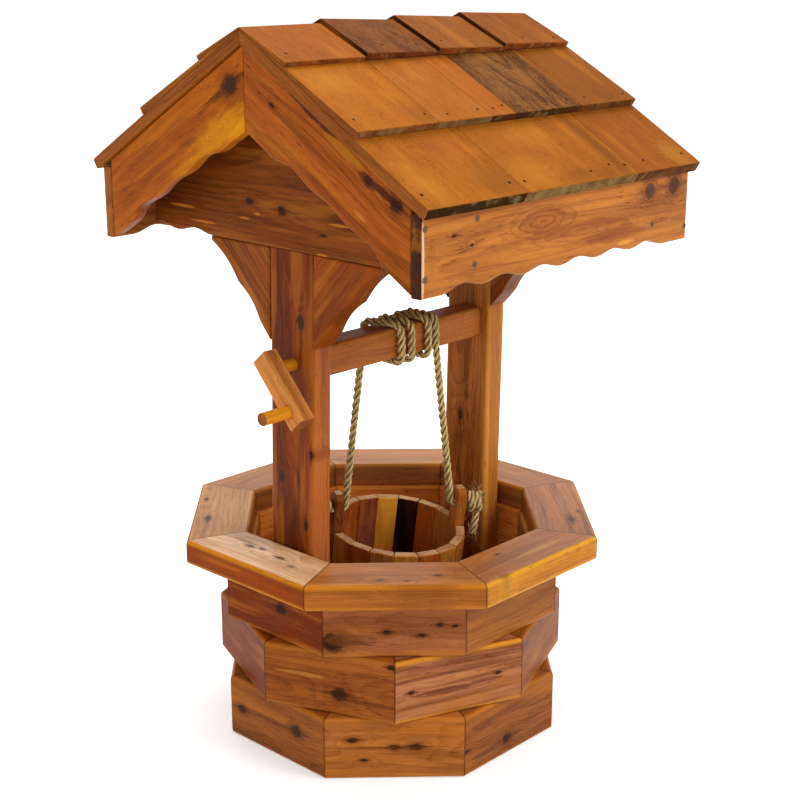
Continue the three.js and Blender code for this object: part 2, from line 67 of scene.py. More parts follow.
class Grain(Enum):
    """The way a board's grain runs, and the way across its broad face, in the row frame."""

    COURSE = "course"
    CAP = "cap"
    POST = "post"
    HEADER = "header"
    FASCIA = "fascia"
    SLOPE = "slope"
    SHINGLE = "shingle"
    TURNED = "turned"
    STAVE = "stave"


@dataclass(frozen=True)
class Knot:
    """A knot through a board: its place along and across the broad face, and its radius, in mm."""

    along_mm: float
    across_mm: float
    radius_mm: float


@dataclass(frozen=True)
class Mark:
    """A soft-edged mark in the wood, such as a dash of sapwood: its place, size and colour."""

    along_mm: float
    across_mm: float
    length_mm: float
    width_mm: float
    colour: str
    share: float = 0.8
    rings: float = 0.0
    soft: float = 0.2


@dataclass(frozen=True)
class CedarFinish:
    """Red cedar, sawn, planed and wiped with a clear orange stain: satin, with a fine figure.

    The first three colours are the heartwood, its darker bands, and the pale sapwood that glows
    in it. The fourth, edge, is the eased edges' colour: stain worn thin there, with a painted
    highlight of the light that they catch. The shares say how strongly each mark shows, from 0 to
    1.
    """

    heart: str = "#A4561D"
    dark: str = "#733410"
    sap: str = "#C47522"
    edge: str = "#CD7E28"
    ring_mm: float = 3.6
    ring_share: float = 0.42
    patch_share: float = 0.62
    glow_share: float = 0.38
    plum_share: float = 0.25
    fleck_share: float = 0.6
    edge_share: float = 0.45
    fibre_share: float = 0.8
    saw_share: float = 0.0
    blotch_share: float = 0.25
    wild_knots: float = 0.0
    pith_mm: tuple[float, float] = (25.0, 75.0)
    roughness: float = 0.42
    coat: float = 0.03
    gloss: float = 0.14
    gloss_tint: str = "#D9A066"
    ior: float = 1.45


@dataclass(frozen=True)
class RopeFinish:
    """Manila rope, three strands of straw-coloured yarn: dry and hairy, with painted shade between
    the yarns and a painted highlight on them.
    """

    yarn: str = "#E6B858"
    # pale is the painted highlight colour and shade the painted shade colour of the yarns.
    pale: str = "#FFEAAE"
    shade: str = "#2C1B06"
    yarn_width_mm: float = 1.3
    roughness: float = 0.85


@dataclass(frozen=True)
class SteelFinish:
    """Zinc-plated steel gone dull outdoors: grey-brown metal mixed with dark dirt by fine noise."""

    bright: str = "#75654E"
    dirt: str = "#1E140C"
    roughness: float = 0.5
    metallic: float = 0.6
    gloss: float = 0.4


def toned(wood: CedarFinish, heart: str, dark: str, **changes: object) -> CedarFinish:
    """The same wood in another heart colour and dark colour, and with other changes."""
    return replace(wood, heart=heart, dark=dark, **changes)


def linear(colour: str) -> tuple[float, float, float, float]:
    """Turns an sRGB hex colour into linear light.

    Args:
        colour: Six hex digits after a hash.

    Returns:
        Red, green, blue and an alpha of 1.
    """
    parts = [int(colour[i:i + 2], 16) / 255 for i in (1, 3, 5)]
    light = [c / 12.92 if c <= 0.04045 else ((c + 0.055) / 1.055) ** 2.4 for c in parts]
    return (*light, 1.0)


def add_node(tree: Tree, kind: str, sockets: dict | None = None,
             **settings: object) -> bpy.types.Node:
    """Adds a node with its settings, and fills its input sockets.

    Args:
        tree: The node tree that gets the node.
        kind: The node's type name.
        sockets: Input name or number to a value, or to the output socket that is linked to it.
        **settings: The node's own properties.

    Returns:
        The new node.
    """
    node = tree.nodes.new(kind)
    for name, value in settings.items():
        setattr(node, name, value)
    for key, value in (sockets or {}).items():
        if isinstance(value, Socket):
            tree.links.new(value, node.inputs[key])
        else:
            node.inputs[key].default_value = value
    return node


def maths(tree: Tree, operation: str, *values: float | Socket, clamp: bool = False) -> Socket:
    """One maths node's result. The values fill its inputs in order."""
    return add_node(tree, "ShaderNodeMath", dict(enumerate(values)), operation=operation,
                    use_clamp=clamp).outputs[0]


def vectors(tree: Tree, operation: str, *values: tuple | Vector | Socket) -> Socket:
    """One vector maths node's result, which is a plain number for LENGTH."""
    node = add_node(tree, "ShaderNodeVectorMath", dict(enumerate(values)), operation=operation)
    return node.outputs["Value" if operation == "LENGTH" else 0]


def parts_of(tree: Tree, place: Socket) -> bpy.types.NodeOutputs:
    """A place's three parts, as the outputs 0, 1 and 2."""
    return add_node(tree, "ShaderNodeSeparateXYZ", {0: place}).outputs


def laid(tree: Tree, share: Socket, base: Socket | tuple, over: Socket | tuple) -> Socket:
    """A colour laid over another by a share."""
    return add_node(tree, "ShaderNodeMix", {"Factor": share, 6: base, 7: over},
                    data_type="RGBA").outputs[2]


def band(tree: Tree, value: Socket, low: float | Socket, high: float | Socket,
         start: float = 0.0, stop: float = 1.0) -> Socket:
    """A smooth step from start at low to stop at high."""
    return add_node(tree, "ShaderNodeMapRange", {
        "Value": value, "From Min": low, "From Max": high, "To Min": start, "To Max": stop},
        interpolation_type="SMOOTHSTEP").outputs[0]


def late_wood(tree: Tree, rings: Socket) -> Socket:
    """The dark line that ends each ring: the fraction part of the count of rings, cubed."""
    return maths(tree, "POWER", maths(tree, "FRACT", rings), 3.0)


def oval(tree: Tree, board: Socket, spot: Knot | Mark, half_long_mm: float,
         half_wide_mm: float) -> tuple[Socket, Socket]:
    """The place on a board measured from a spot's middle, in the spot's own half sizes.

    Args:
        tree: The material's tree.
        board: The place on the board, in mm.
        spot: The knot or mark.
        half_long_mm: The oval's half size along the grain.
        half_wide_mm: The same, across it.

    Returns:
        That place, and its distance from the middle.
    """
    size = (1 / half_long_mm, 1 / half_wide_mm, 0.0)
    centre = (-spot.along_mm * size[0], -spot.across_mm * size[1], 0.0)
    local = vectors(tree, "MULTIPLY_ADD", board, size, centre)
    return local, vectors(tree, "LENGTH", local)


def new_material(name: str) -> tuple[Material, Tree]:
    """Makes a material with an empty node tree.

    Args:
        name: The material's name.

    Returns:
        The material and its tree.
    """
    material = bpy.data.materials.new(name)
    material.use_nodes = True
    material.node_tree.nodes.clear()
    return material, material.node_tree


def shade(tree: Tree, sockets: dict) -> None:
    """Ends a material's tree with its shader, whose sockets are filled from the dictionary."""
    shader = add_node(tree, "ShaderNodeBsdfPrincipled", sockets)
    add_node(tree, "ShaderNodeOutputMaterial", {"Surface": shader.outputs[0]})


@dataclass(frozen=True)
class Blot:
    """A noise of the figure: its blots' size along, across and through the board, how many finer
    octaves it has, and the two values between which it sets in."""

    size_mm: tuple[float, float, float]
    detail: float
    low: float = 0.0
    high: float = 1.0


class CedarFigure:
    """The figure of sawn cedar as one node group that every board shares.

    A board is cut from a round log. Rings are the fraction part of the distance from the pith,
    swayed by slow noise, so a face cut near the pith shows arches and one cut far from it shows
    lines. Knots push the rings aside. The inputs with the names of a finish's fields take that
    finish's values.
    """

    NAME = "cedar_figure"
    PLACES = ("board", "pith", "half", "shift")
    COLOURS = ("heart", "dark", "sap", "edge")
    AMOUNTS = ("ring_mm", "ring_share", "patch_share", "glow_share", "plum_share", "fleck_share",
               "edge_share", "fibre_share", "saw_share", "blotch_share", "wild_knots")
    KNOTS = ("knot", "tail")
    BLOTS = {
        "slow sway": Blot((520, 110, 110), 1.5),
        "quick sway": Blot((110, 18, 18), 2.0),
        "fibre": Blot((60, 1.6, 1.6), 2.0),
        "hair": Blot((13, 0.7, 0.7), 1.0),
        "saw": Blot((2.2, 4.5, 4.5), 3.0),
        "blotch": Blot((38, 26, 26), 3.0),
        "patch": Blot((320, 34, 34), 3.0, 0.34, 0.72),
        "glow": Blot((190, 22, 22), 2.0, 0.50, 0.68),
        "plum": Blot((340, 13, 13), 2.0, 0.50, 0.66),
        "crowd": Blot((150, 30, 30), 1.0, 0.46, 0.62),
        "dash": Blot((22, 2.4, 2.4), 1.5, 0.60, 0.70),
        "speck": Blot((9, 1.3, 1.3), 1.0, 0.66, 0.76),
        "ragged knot": Blot((9, 4, 4), 3.0),
        "ragged trail": Blot((24, 2.2, 2.2), 2.0),
        "torn": Blot((6, 1.6, 1.6), 2.0, 0.40, 0.55),
    }
    SLOW_SWAY_MM, QUICK_SWAY_MM = 30.0, 2.2
    KNOT_CELL_MM, WILD_RADIUS = (150, 70, 70), 0.10
    BULGE_MM, BULGE_FALL = 26.0, -0.7
    EASE_BAND_MM = (-9.0, -1.5)
    FIBRE_DEPTH, FIBRE_MIDDLE, FIBRE_RELIEF = 1.8, -0.87, 0.6
    HAIR_DEPTH, HAIR_MIDDLE, NOISE_MIDDLE = 0.9, -0.45, -0.5
    ROUGH_SPAN, ROUGH_LOW = 0.16, -0.08
    SPECK_SHARE, TRAIL_FRAY, TORN_SHARE = 0.7, 1.6, 0.5
    PLUM, FLECK = "#5E2A16", "#3C1D0D"
    TRAIL, TRAIL_SHARE, TRAIL_BAND = "#4A240E", 0.75, (1.75, 1.0)
    HALO, HALO_SHARE, HALO_BAND = "#6E3411", 0.5, (2.1, 1.2)
    KNOT_HEART, HEART_SHARE, HEART_BAND = "#4C2610", 0.8, (1.35, 1.0)
    KNOT_CORE, CORE_SHARE, CORE_BAND = "#1E0F07", 0.85, (1.25, 0.9)

    def __init__(self) -> None:
        """Makes the group and its sockets."""
        self.tree = bpy.data.node_groups.new(self.NAME, "ShaderNodeTree")
        for in_out, kind, names in (
            ("INPUT", "Vector", self.PLACES), ("INPUT", "Color", self.COLOURS),
            ("INPUT", "Float", self.AMOUNTS + self.KNOTS), ("OUTPUT", "Color", ("colour",)),
            ("OUTPUT", "Float", ("rough", "height")),
        ):
            for name in names:
                self.tree.interface.new_socket(
                    name, in_out=in_out, socket_type=f"NodeSocket{kind}")

    def noise(self, place: Socket, name: str) -> bpy.types.NodeOutputs:
        """The outputs of one of the noises.

        Args:
            place: Where on the board, in mm.
            name: The noise's name in the table.

        Returns:
            Its outputs, Fac and Color.
        """
        blot = self.BLOTS[name]
        scaled = vectors(self.tree, "MULTIPLY", place, tuple(1 / size for size in blot.size_mm))
        return add_node(self.tree, "ShaderNodeTexNoise", {
            "Vector": scaled, "Scale": 1.0, "Detail": blot.detail, "Roughness": 0.55}).outputs

    def spots(self, place: Socket, name: str) -> Socket:
        """Where a noise has set in: 0 below its low value and 1 above its high one."""
        blot = self.BLOTS[name]
        return band(self.tree, self.noise(place, name)["Fac"], blot.low, blot.high)

    def sway(self, place: Socket, noise: bpy.types.NodeOutputs, reach_mm: float) -> Socket:
        """Moves a place across the board by a noise's colour, up to half of reach_mm each way."""
        centred = vectors(self.tree, "SUBTRACT", noise["Color"], (0.5, 0.5, 0.5))
        return vectors(self.tree, "MULTIPLY_ADD", centred, (0.0, reach_mm, reach_mm), place)

    def times(self, first: Socket, second: float | Socket) -> Socket:
        """One value times another."""
        return maths(self.tree, "MULTIPLY", first, second)

    def knots(self, given: bpy.types.NodeOutputs, place: Socket) -> Socket:
        """Finds the nearest knot, of the set ones and of the log's own wild ones.

        Args:
            given: The group's inputs.
            place: The place in the log, in mm.

        Returns:
            The distance from it, in knot radii.
        """
        tree = self.tree
        scaled = vectors(tree, "MULTIPLY", place, tuple(1 / size for size in self.KNOT_CELL_MM))
        cells = add_node(tree, "ShaderNodeTexVoronoi", {"Vector": scaled, "Scale": 1.0},
                         feature="F1").outputs
        lot = add_node(tree, "ShaderNodeSeparateColor", {0: cells["Color"]}).outputs[0]
        spared = maths(tree, "GREATER_THAN", lot, given["wild_knots"])
        wild = self.times(cells["Distance"], 1 / self.WILD_RADIUS)
        away = maths(tree, "MULTIPLY_ADD", spared, FAR_KNOT, wild)
        nearest = maths(tree, "MINIMUM", away, given["knot"])
        return maths(tree, "ADD", self.noise(place, "ragged knot")["Fac"], nearest)

    def ring_place(self, place: Socket, knot: Socket) -> Socket:
        """Finds where in its ring a place lies: rings swell round knots by a falling exponential.

        Args:
            place: The swayed place in the log, in mm.
            knot: The distance from the nearest knot, in knot radii.

        Returns:
            The distance from the pith, in mm.
        """
        across = vectors(self.tree, "MULTIPLY", place, (0.0, 1.0, 1.0))
        distance = vectors(self.tree, "LENGTH", across)
        bulge = maths(self.tree, "EXPONENT", self.times(knot, self.BULGE_FALL))
        return maths(self.tree, "MULTIPLY_ADD", bulge, self.BULGE_MM, distance)

    def worn_and_lit_edge_mask(self, given: bpy.types.NodeOutputs) -> Socket:
        """1 on the eased long edges of a board, where stain wears thin and a painted highlight
        lies:
        both across and through are within about 7 mm of the board's half sizes."""
        true = vectors(self.tree, "ADD", given["board"], given["shift"])
        reach = vectors(self.tree, "ABSOLUTE", true)
        inset = parts_of(self.tree, vectors(self.tree, "SUBTRACT", reach, given["half"]))
        across, through = (band(self.tree, inset[i], *self.EASE_BAND_MM) for i in (1, 2))
        return self.times(self.times(across, through), given["edge_share"])

    def knotted(self, given: bpy.types.NodeOutputs, log_place: Socket, knot: Socket,
                wood: Socket) -> Socket:
        """Lays a knot's dark trail, its halo, its heart and its torn core over the wood.

        Args:
            given: The group's inputs.
            log_place: The place in the log, in mm.
            knot: The distance from the nearest knot, in knot radii.
            wood: The colour under it.

        Returns:
            The colour with the knot in it.
        """
        tree = self.tree
        trail = maths(tree, "MULTIPLY_ADD", self.noise(log_place, "ragged trail")["Fac"],
                      self.TRAIL_FRAY, given["tail"])
        torn = maths(tree, "MULTIPLY_ADD", self.spots(log_place, "torn"), self.TORN_SHARE,
                     1.0 - self.TORN_SHARE)
        core = self.times(band(tree, knot, *self.CORE_BAND), torn)
        for shape, share, colour in (
            (band(tree, trail, *self.TRAIL_BAND), self.TRAIL_SHARE, self.TRAIL),
            (band(tree, knot, *self.HALO_BAND), self.HALO_SHARE, self.HALO),
            (band(tree, knot, *self.HEART_BAND), self.HEART_SHARE, self.KNOT_HEART),
            (core, self.CORE_SHARE, self.KNOT_CORE),
        ):
            wood = laid(tree, self.times(shape, share), wood, linear(colour))
        return wood

    def build(self) -> Tree:
        """Joins the marks into a colour, a roughness and a height.

        Returns:
            The finished group.
        """
        tree = self.tree
        given = add_node(tree, "NodeGroupInput").outputs
        log_place = vectors(tree, "ADD", given["board"], given["pith"])
        slow = self.sway(log_place, self.noise(log_place, "slow sway"), self.SLOW_SWAY_MM)
        place = self.sway(slow, self.noise(log_place, "quick sway"), self.QUICK_SWAY_MM)
        knot = self.knots(given, log_place)
        pith = self.ring_place(place, knot)
        line = late_wood(tree, maths(tree, "DIVIDE", pith, given["ring_mm"]))
        fibre = self.noise(place, "fibre")["Fac"]

        # Ring lines and patches darken the wood, and fine fibres, saw marks and blotches go
        # both ways about their middle value.
        patches = self.times(self.spots(place, "patch"), given["patch_share"])
        lined = maths(tree, "MULTIPLY_ADD", line, given["ring_share"], patches)
        hairy = maths(tree, "MULTIPLY_ADD", fibre, self.FIBRE_DEPTH, self.FIBRE_MIDDLE)
        fine = maths(tree, "MULTIPLY_ADD", self.noise(place, "hair")["Fac"], self.HAIR_DEPTH,
                     hairy)
        settled = self.times(maths(tree, "ADD", fine, self.HAIR_MIDDLE), given["fibre_share"])
        for name in ("blotch", "saw"):
            centred = maths(tree, "ADD", self.noise(log_place, name)["Fac"], self.NOISE_MIDDLE)
            settled = maths(tree, "MULTIPLY_ADD", centred, given[f"{name}_share"], settled)
        darkness = maths(tree, "ADD", lined, settled, clamp=True)
        wood = laid(tree, darkness, given["heart"], given["dark"])

        # Warm glows, plum streaks, and edges worn pale with a painted highlight on them.
        for name, colour in (("glow", given["sap"]), ("plum", linear(self.PLUM))):
            shown = self.times(self.spots(place, name), given[f"{name}_share"])
            wood = laid(tree, shown, wood, colour)
        wood = laid(tree, self.worn_and_lit_edge_mask(given), wood, given["edge"])

        # Short dark dashes come in crowds, and small specks everywhere.
        dashes = self.times(self.spots(place, "dash"), self.spots(place, "crowd"))
        specks = self.times(self.spots(place, "speck"), self.SPECK_SHARE)
        flecks = self.times(maths(tree, "MAXIMUM", dashes, specks), given["fleck_share"])
        wood = laid(tree, flecks, wood, linear(self.FLECK))

        add_node(tree, "NodeGroupOutput", {
            "colour": self.knotted(given, log_place, knot, wood),
            "rough": maths(tree, "MULTIPLY_ADD", fibre, self.ROUGH_SPAN, self.ROUGH_LOW),
            "height": maths(tree, "MULTIPLY_ADD", fibre, self.FIBRE_RELIEF, line)})
        return tree


class CedarPainter:
    """Makes each board's own cedar material from a finish, its grain and its place."""

    big_knot_mm = 6.5
    big_knot_shape, small_knot_shape, tail_shape = (1.9, 1.5), (2.6, 1.4), (6.5, 0.6)
    mark_edge, mark_fray, mark_fray_scale, ring_fray = 1.55, 1.4, 2.6, 0.35
    ring_side = math.pi / 4
    seam, seam_share, seam_band_mm = "#3E1E0C", 0.6, (2.0, 0.5)
    bump_strength, bump_mm = 0.35, 0.3

    def __init__(self, seed: int = 11) -> None:
        """Builds the shared figure and the steady source of small differences."""
        self.figure = CedarFigure().build()
        self.chance = np.random.default_rng(seed)

    def axes(self, grain: Grain, turn: float) -> Matrix:
        """The board's along, across and through directions as the rows of a rotation.

        Args:
            grain: How the board's grain lies.
            turn: The outward direction of a ring's board, or the slope of a sloping one, in
                radians.

        Returns:
            A 3 by 3 rotation from the row frame to the board.
        """
        sin, cos = math.sin(turn), math.cos(turn)
        along, across = {
            Grain.COURSE: ((sin, -cos, 0), (0, 0, 1)),
            Grain.CAP: ((sin, -cos, 0), (cos, sin, 0)),
            Grain.POST: ((0, 0, 1), (0, 1, 0)),
            Grain.HEADER: ((0, 1, 0), (0, 0, 1)),
            Grain.FASCIA: ((1, 0, 0), (0, 0, 1)),
            Grain.SLOPE: ((0, cos, sin), (0, -sin, cos)),
            Grain.SHINGLE: ((0, cos, sin), (-1, 0, 0)),
            Grain.TURNED: ((1, 0, 0), (0, 1, 0)),
            Grain.STAVE: ((0, 0, 1), (cos, sin, 0)),
        }[grain]
        through = Vector(along).cross(Vector(across))
        return Matrix((along, across, through))

    def knot_distances(self, tree: Tree, board: Socket, knots: tuple[Knot, ...]) -> list:
        """The distance from the nearest set knot, in knot radii, longer along the grain, and the
        same for the thin dark trail that runs from it along the grain.

        Args:
            tree: The material's tree.
            board: The place on the board, in mm.
            knots: The knots of that board.

        Returns:
            The two distances' sockets, or far constants if the board has no knots.
        """
        nearest = [FAR_KNOT, FAR_KNOT]
        for knot in knots:
            big = knot.radius_mm > self.big_knot_mm
            shape = self.big_knot_shape if big else self.small_knot_shape
            for i, (long, wide) in enumerate((shape, self.tail_shape)):
                reach = oval(tree, board, knot, long * knot.radius_mm, wide * knot.radius_mm)[1]
                nearest[i] = maths(tree, "MINIMUM", reach, nearest[i])
        return nearest

    def marked(self, tree: Tree, board: Socket, colour: Socket, mark: Mark) -> Socket:
        """Lays a mark over the wood: an oval whose edge is frayed by noise, plain or in rings.

        Args:
            tree: The material's tree.
            board: The place on the board, in mm.
            colour: The wood under it.
            mark: The mark.

        Returns:
            The colour with the mark in it.
        """
        local, reach = oval(tree, board, mark, mark.length_mm / 2, mark.width_mm / 2)
        fray = add_node(tree, "ShaderNodeTexNoise", {
            "Vector": local, "Scale": self.mark_fray_scale, "Detail": 3.0}).outputs["Fac"]
        edge = maths(tree, "MULTIPLY_ADD", fray, self.mark_fray, reach)
        share = band(tree, edge, self.mark_edge + mark.soft, self.mark_edge - mark.soft, 0.0,
                     mark.share)
        if mark.rings:
            steady = maths(tree, "MULTIPLY_ADD", fray, self.ring_fray, reach)
            rings = maths(tree, "MULTIPLY", steady, mark.rings)
            share = maths(tree, "MULTIPLY", share, late_wood(tree, rings))
        return laid(tree, share, colour, linear(mark.colour))

    def seamed(self, tree: Tree, board: Socket, shift: Vector, colour: Socket, grain: Grain,
               apothem_mm: float) -> Socket:
        """Darkens a ring board where it meets its neighbours.

        The mitre lies at half a side's length from the middle, which is the distance from the
        well's axis times the tangent of half the side's angle.

        Args:
            tree: The material's tree.
            board: The place on the board, in mm.
            shift: What brings that place to the board's own middle.
            colour: The wood under it.
            grain: Course boards face out through their thickness, cap boards across.
            apothem_mm: The middle's distance from the well's axis.

        Returns:
            The colour with the seam in it.
        """
        parts = parts_of(tree, vectors(tree, "ADD", board, shift))
        slope = math.tan(self.ring_side / 2)
        outward, growth = (parts[1], slope) if grain is Grain.CAP else (parts[2], -slope)
        reach = maths(tree, "MULTIPLY_ADD", outward, growth, apothem_mm * slope)
        left = maths(tree, "SUBTRACT", reach, maths(tree, "ABSOLUTE", parts[0]))
        seam = band(tree, left, *self.seam_band_mm, 0.0, self.seam_share)
        return laid(tree, seam, colour, linear(self.seam))

    def material(self, name: str, finish: CedarFinish, grain: Grain, centre: Vector,
                 half_mm: tuple[float, float], turn: float = 0.0,
                 knots: tuple[Knot, ...] = (), marks: tuple[Mark, ...] = (),
                 own_middle: Vector | None = None) -> Material:
        """Makes one board's material.

        Args:
            name: The material's name.
            finish: The board's colours and marks.
            grain: How its grain lies.
            centre: The middle of the board, in metres.
            half_mm: Half its width across and half its thickness through.
            turn: The angle that goes with the grain.
            knots: Its set knots, measured from its middle.
            marks: Its set marks, measured from its middle.
            own_middle: The middle of the board's box along its own directions, in metres.

        Returns:
            The material.
        """
        material, tree = new_material(name)
        axes = self.axes(grain, turn)
        middle = axes @ centre
        own_middle = middle if own_middle is None else own_middle
        shift = (middle - own_middle) / MM
        place = add_node(tree, "ShaderNodeTexCoord")
        board = add_node(tree, "ShaderNodeMapping", {
            "Vector": place.outputs["Object"], "Scale": (1 / MM,) * 3,
            "Rotation": axes.to_euler("XYZ"), "Location": -middle / MM}).outputs[0]
        across, through = finish.pith_mm
        side = self.chance.choice((-1, 1))
        pith = (self.chance.uniform(0, 4000), side * across * self.chance.uniform(0.3, 1.7),
                through * self.chance.uniform(0.75, 1.5))
        knot, tail = self.knot_distances(tree, board, knots)
        inputs = {"board": board, "pith": pith, "half": (FAR_MM, *half_mm), "shift": shift,
                  "knot": knot, "tail": tail}
        inputs |= {key: linear(getattr(finish, key)) for key in CedarFigure.COLOURS}
        inputs |= {key: getattr(finish, key) for key in CedarFigure.AMOUNTS}
        figure = add_node(tree, "ShaderNodeGroup", inputs, node_tree=self.figure).outputs
        colour = figure["colour"]
        for mark in marks:
            colour = self.marked(tree, board, colour, mark)
        if grain in (Grain.COURSE, Grain.CAP):
            apothem = abs(own_middle[1 if grain is Grain.CAP else 2]) / MM
            colour = self.seamed(tree, board, shift, colour, grain, apothem)
        bump = add_node(tree, "ShaderNodeBump", {
            "Height": figure["height"], "Strength": self.bump_strength,
            "Distance": self.bump_mm * MM})
        shade(tree, {
            "Base Color": colour, "Normal": bump.outputs[0],
            "Roughness": maths(tree, "ADD", figure["rough"], finish.roughness),
            "Specular IOR Level": finish.gloss, "Specular Tint": linear(finish.gloss_tint),
            "IOR": finish.ior, "Coat Weight": finish.coat, "Coat Roughness": 0.3})
        return material


def scene_object(name: str, data: bpy.types.ID) -> Object:
    """Makes an object and links it to the scene.

    Args:
        name: The object's name.
        data: Its mesh, light or camera.

    Returns:
        The object, at the origin.
    """
    made = bpy.data.objects.new(name, data)
    bpy.context.scene.collection.objects.link(made)
    return made


def mesh_object(name: str, points: np.ndarray, faces: list,
                smooth_below: float = 50.0) -> Object:
    """Puts points and faces into a new object at the origin, shaded smooth below an angle.

    Args:
        name: The object's name.
        points: The vertices, n by 3, in metres.
        faces: Lists of vertex numbers.
        smooth_below: Edges that turn less than this many degrees are shaded smooth.

    Returns:
        The object, linked to the scene.
    """
    mesh = bpy.data.meshes.new(name)
    mesh.from_pydata(points.reshape(-1, 3).tolist(), [], faces)
    mesh.validate()
    mesh.shade_smooth()
    mesh.set_sharp_from_angle(angle=math.radians(smooth_below))
    mesh.update()
    return scene_object(name, mesh)


def even_normals(piece: Object) -> None:
    """Lets the broad faces set the normals, so that eased edges read as round and faces as flat."""
    modifier = piece.modifiers.new("broad_faces_first", "WEIGHTED_NORMAL")
    modifier.keep_sharp = True
    modifier.weight = 80


def grid_faces(rows: int, columns: int, start: int = 0, round_rows: bool = False,
               flip: bool = False) -> list:
    """The quads of a grid of points numbered row by row, each row closed on itself.

    Args:
        rows: How many rows of points.
        columns: How many points in a row.
        start: The first point's number.
        round_rows: The last row joins the first.
        flip: Turns the faces over.

    Returns:
        Lists of four vertex numbers.
    """
    row, column = np.meshgrid(np.arange(rows if round_rows else rows - 1), np.arange(columns),
                              indexing="ij")
    below, beside = (row + 1) % rows, (column + 1) % columns
    quads = np.stack([row * columns + column, row * columns + beside,
                      below * columns + beside, below * columns + column], axis=-1)
    quads = quads.reshape(-1, 4) + start
    return (quads[:, ::-1] if flip else quads).tolist()


def closed_tube(rows: int, columns: int, start: int = 0) -> list:
    """The quads of a tube of rings, with a flat face on its first and on its last ring.

    Args:
        rows: How many rings.
        columns: How many points in a ring.
        start: The first point's number.

    Returns:
        Lists of vertex numbers.
    """
    first = start + np.arange(columns)
    last = first + (rows - 1) * columns
    return grid_faces(rows, columns, start) + [first[::-1].tolist(), last.tolist()]


def unit(ways: np.ndarray) -> np.ndarray:
    """The same directions with a length of 1 each."""
    return ways / np.linalg.norm(ways, axis=-1, keepdims=True)


def turned(angle: np.ndarray, first: np.ndarray, second: np.ndarray) -> np.ndarray:
    """The direction at an angle from the first of two directions towards the second."""
    return np.cos(angle)[..., None] * first + np.sin(angle)[..., None] * second


def eased_section(width: float, height: float, ease: float, steps: int) -> np.ndarray:
    """A rectangle's outline with quarter-circle corners, anticlockwise.

    Each corner's points are its centre plus ease times the cosine and sine of an angle that runs
    through that corner's quarter turn.

    Args:
        width: The full width.
        height: The full height.
        ease: The corner's radius.
        steps: Chords in each corner.

    Returns:
        Points, 4 * (steps + 1) by 2.
    """
    quarter = np.linspace(0, math.pi / 2, steps + 1)
    angles = (quarter[None, :] + np.arange(4)[:, None] * math.pi / 2).ravel()
    signs = np.repeat([(1, 1), (-1, 1), (-1, -1), (1, -1)], steps + 1, axis=0)
    centres = signs * (width / 2 - ease, height / 2 - ease)
    return centres + ease * np.stack([np.cos(angles), np.sin(angles)], axis=1)


def eased_bar(width: float, height: float, length: float, ease: float, steps: int = 3,
              middle_stations: int = 2) -> tuple[np.ndarray, list]:
    """An eased section carried along a straight path, with its two ends eased as well.

    Near each end the section shrinks by ease * (1 - cos) as it moves out by ease * sin, and a
    flat face closes it.

    Args:
        width: Full size along the first axis.
        height: Full size along the second axis.
        length: Full size along the third axis, the path.
        ease: The radius on every edge.
        steps: Chords in each quarter turn.
        middle_stations: Stations along the straight stretch.

    Returns:
        Points, n by 3, centred on the origin, and the faces.
    """
    bend = np.linspace(0, math.pi / 2, steps + 1)
    out = np.concatenate([
        -length / 2 + ease * (1 - np.sin(bend[::-1])),
        np.linspace(-length / 2 + ease, length / 2 - ease, middle_stations + 2)[1:-1],
        length / 2 - ease * (1 - np.sin(bend))])
    shrink = np.concatenate([
        ease * (1 - np.cos(bend[::-1])), np.zeros(middle_stations), ease * (1 - np.cos(bend))])
    section = eased_section(width, height, ease, steps)
    limits = np.array([width / 2, height / 2])
    rings = section[None] * (1 - shrink[:, None, None] / limits)
    points = np.concatenate(
        [rings, np.broadcast_to(out[:, None, None], (*rings.shape[:2], 1))], axis=2)
    return points.reshape(-1, 3), closed_tube(*points.shape[:2])


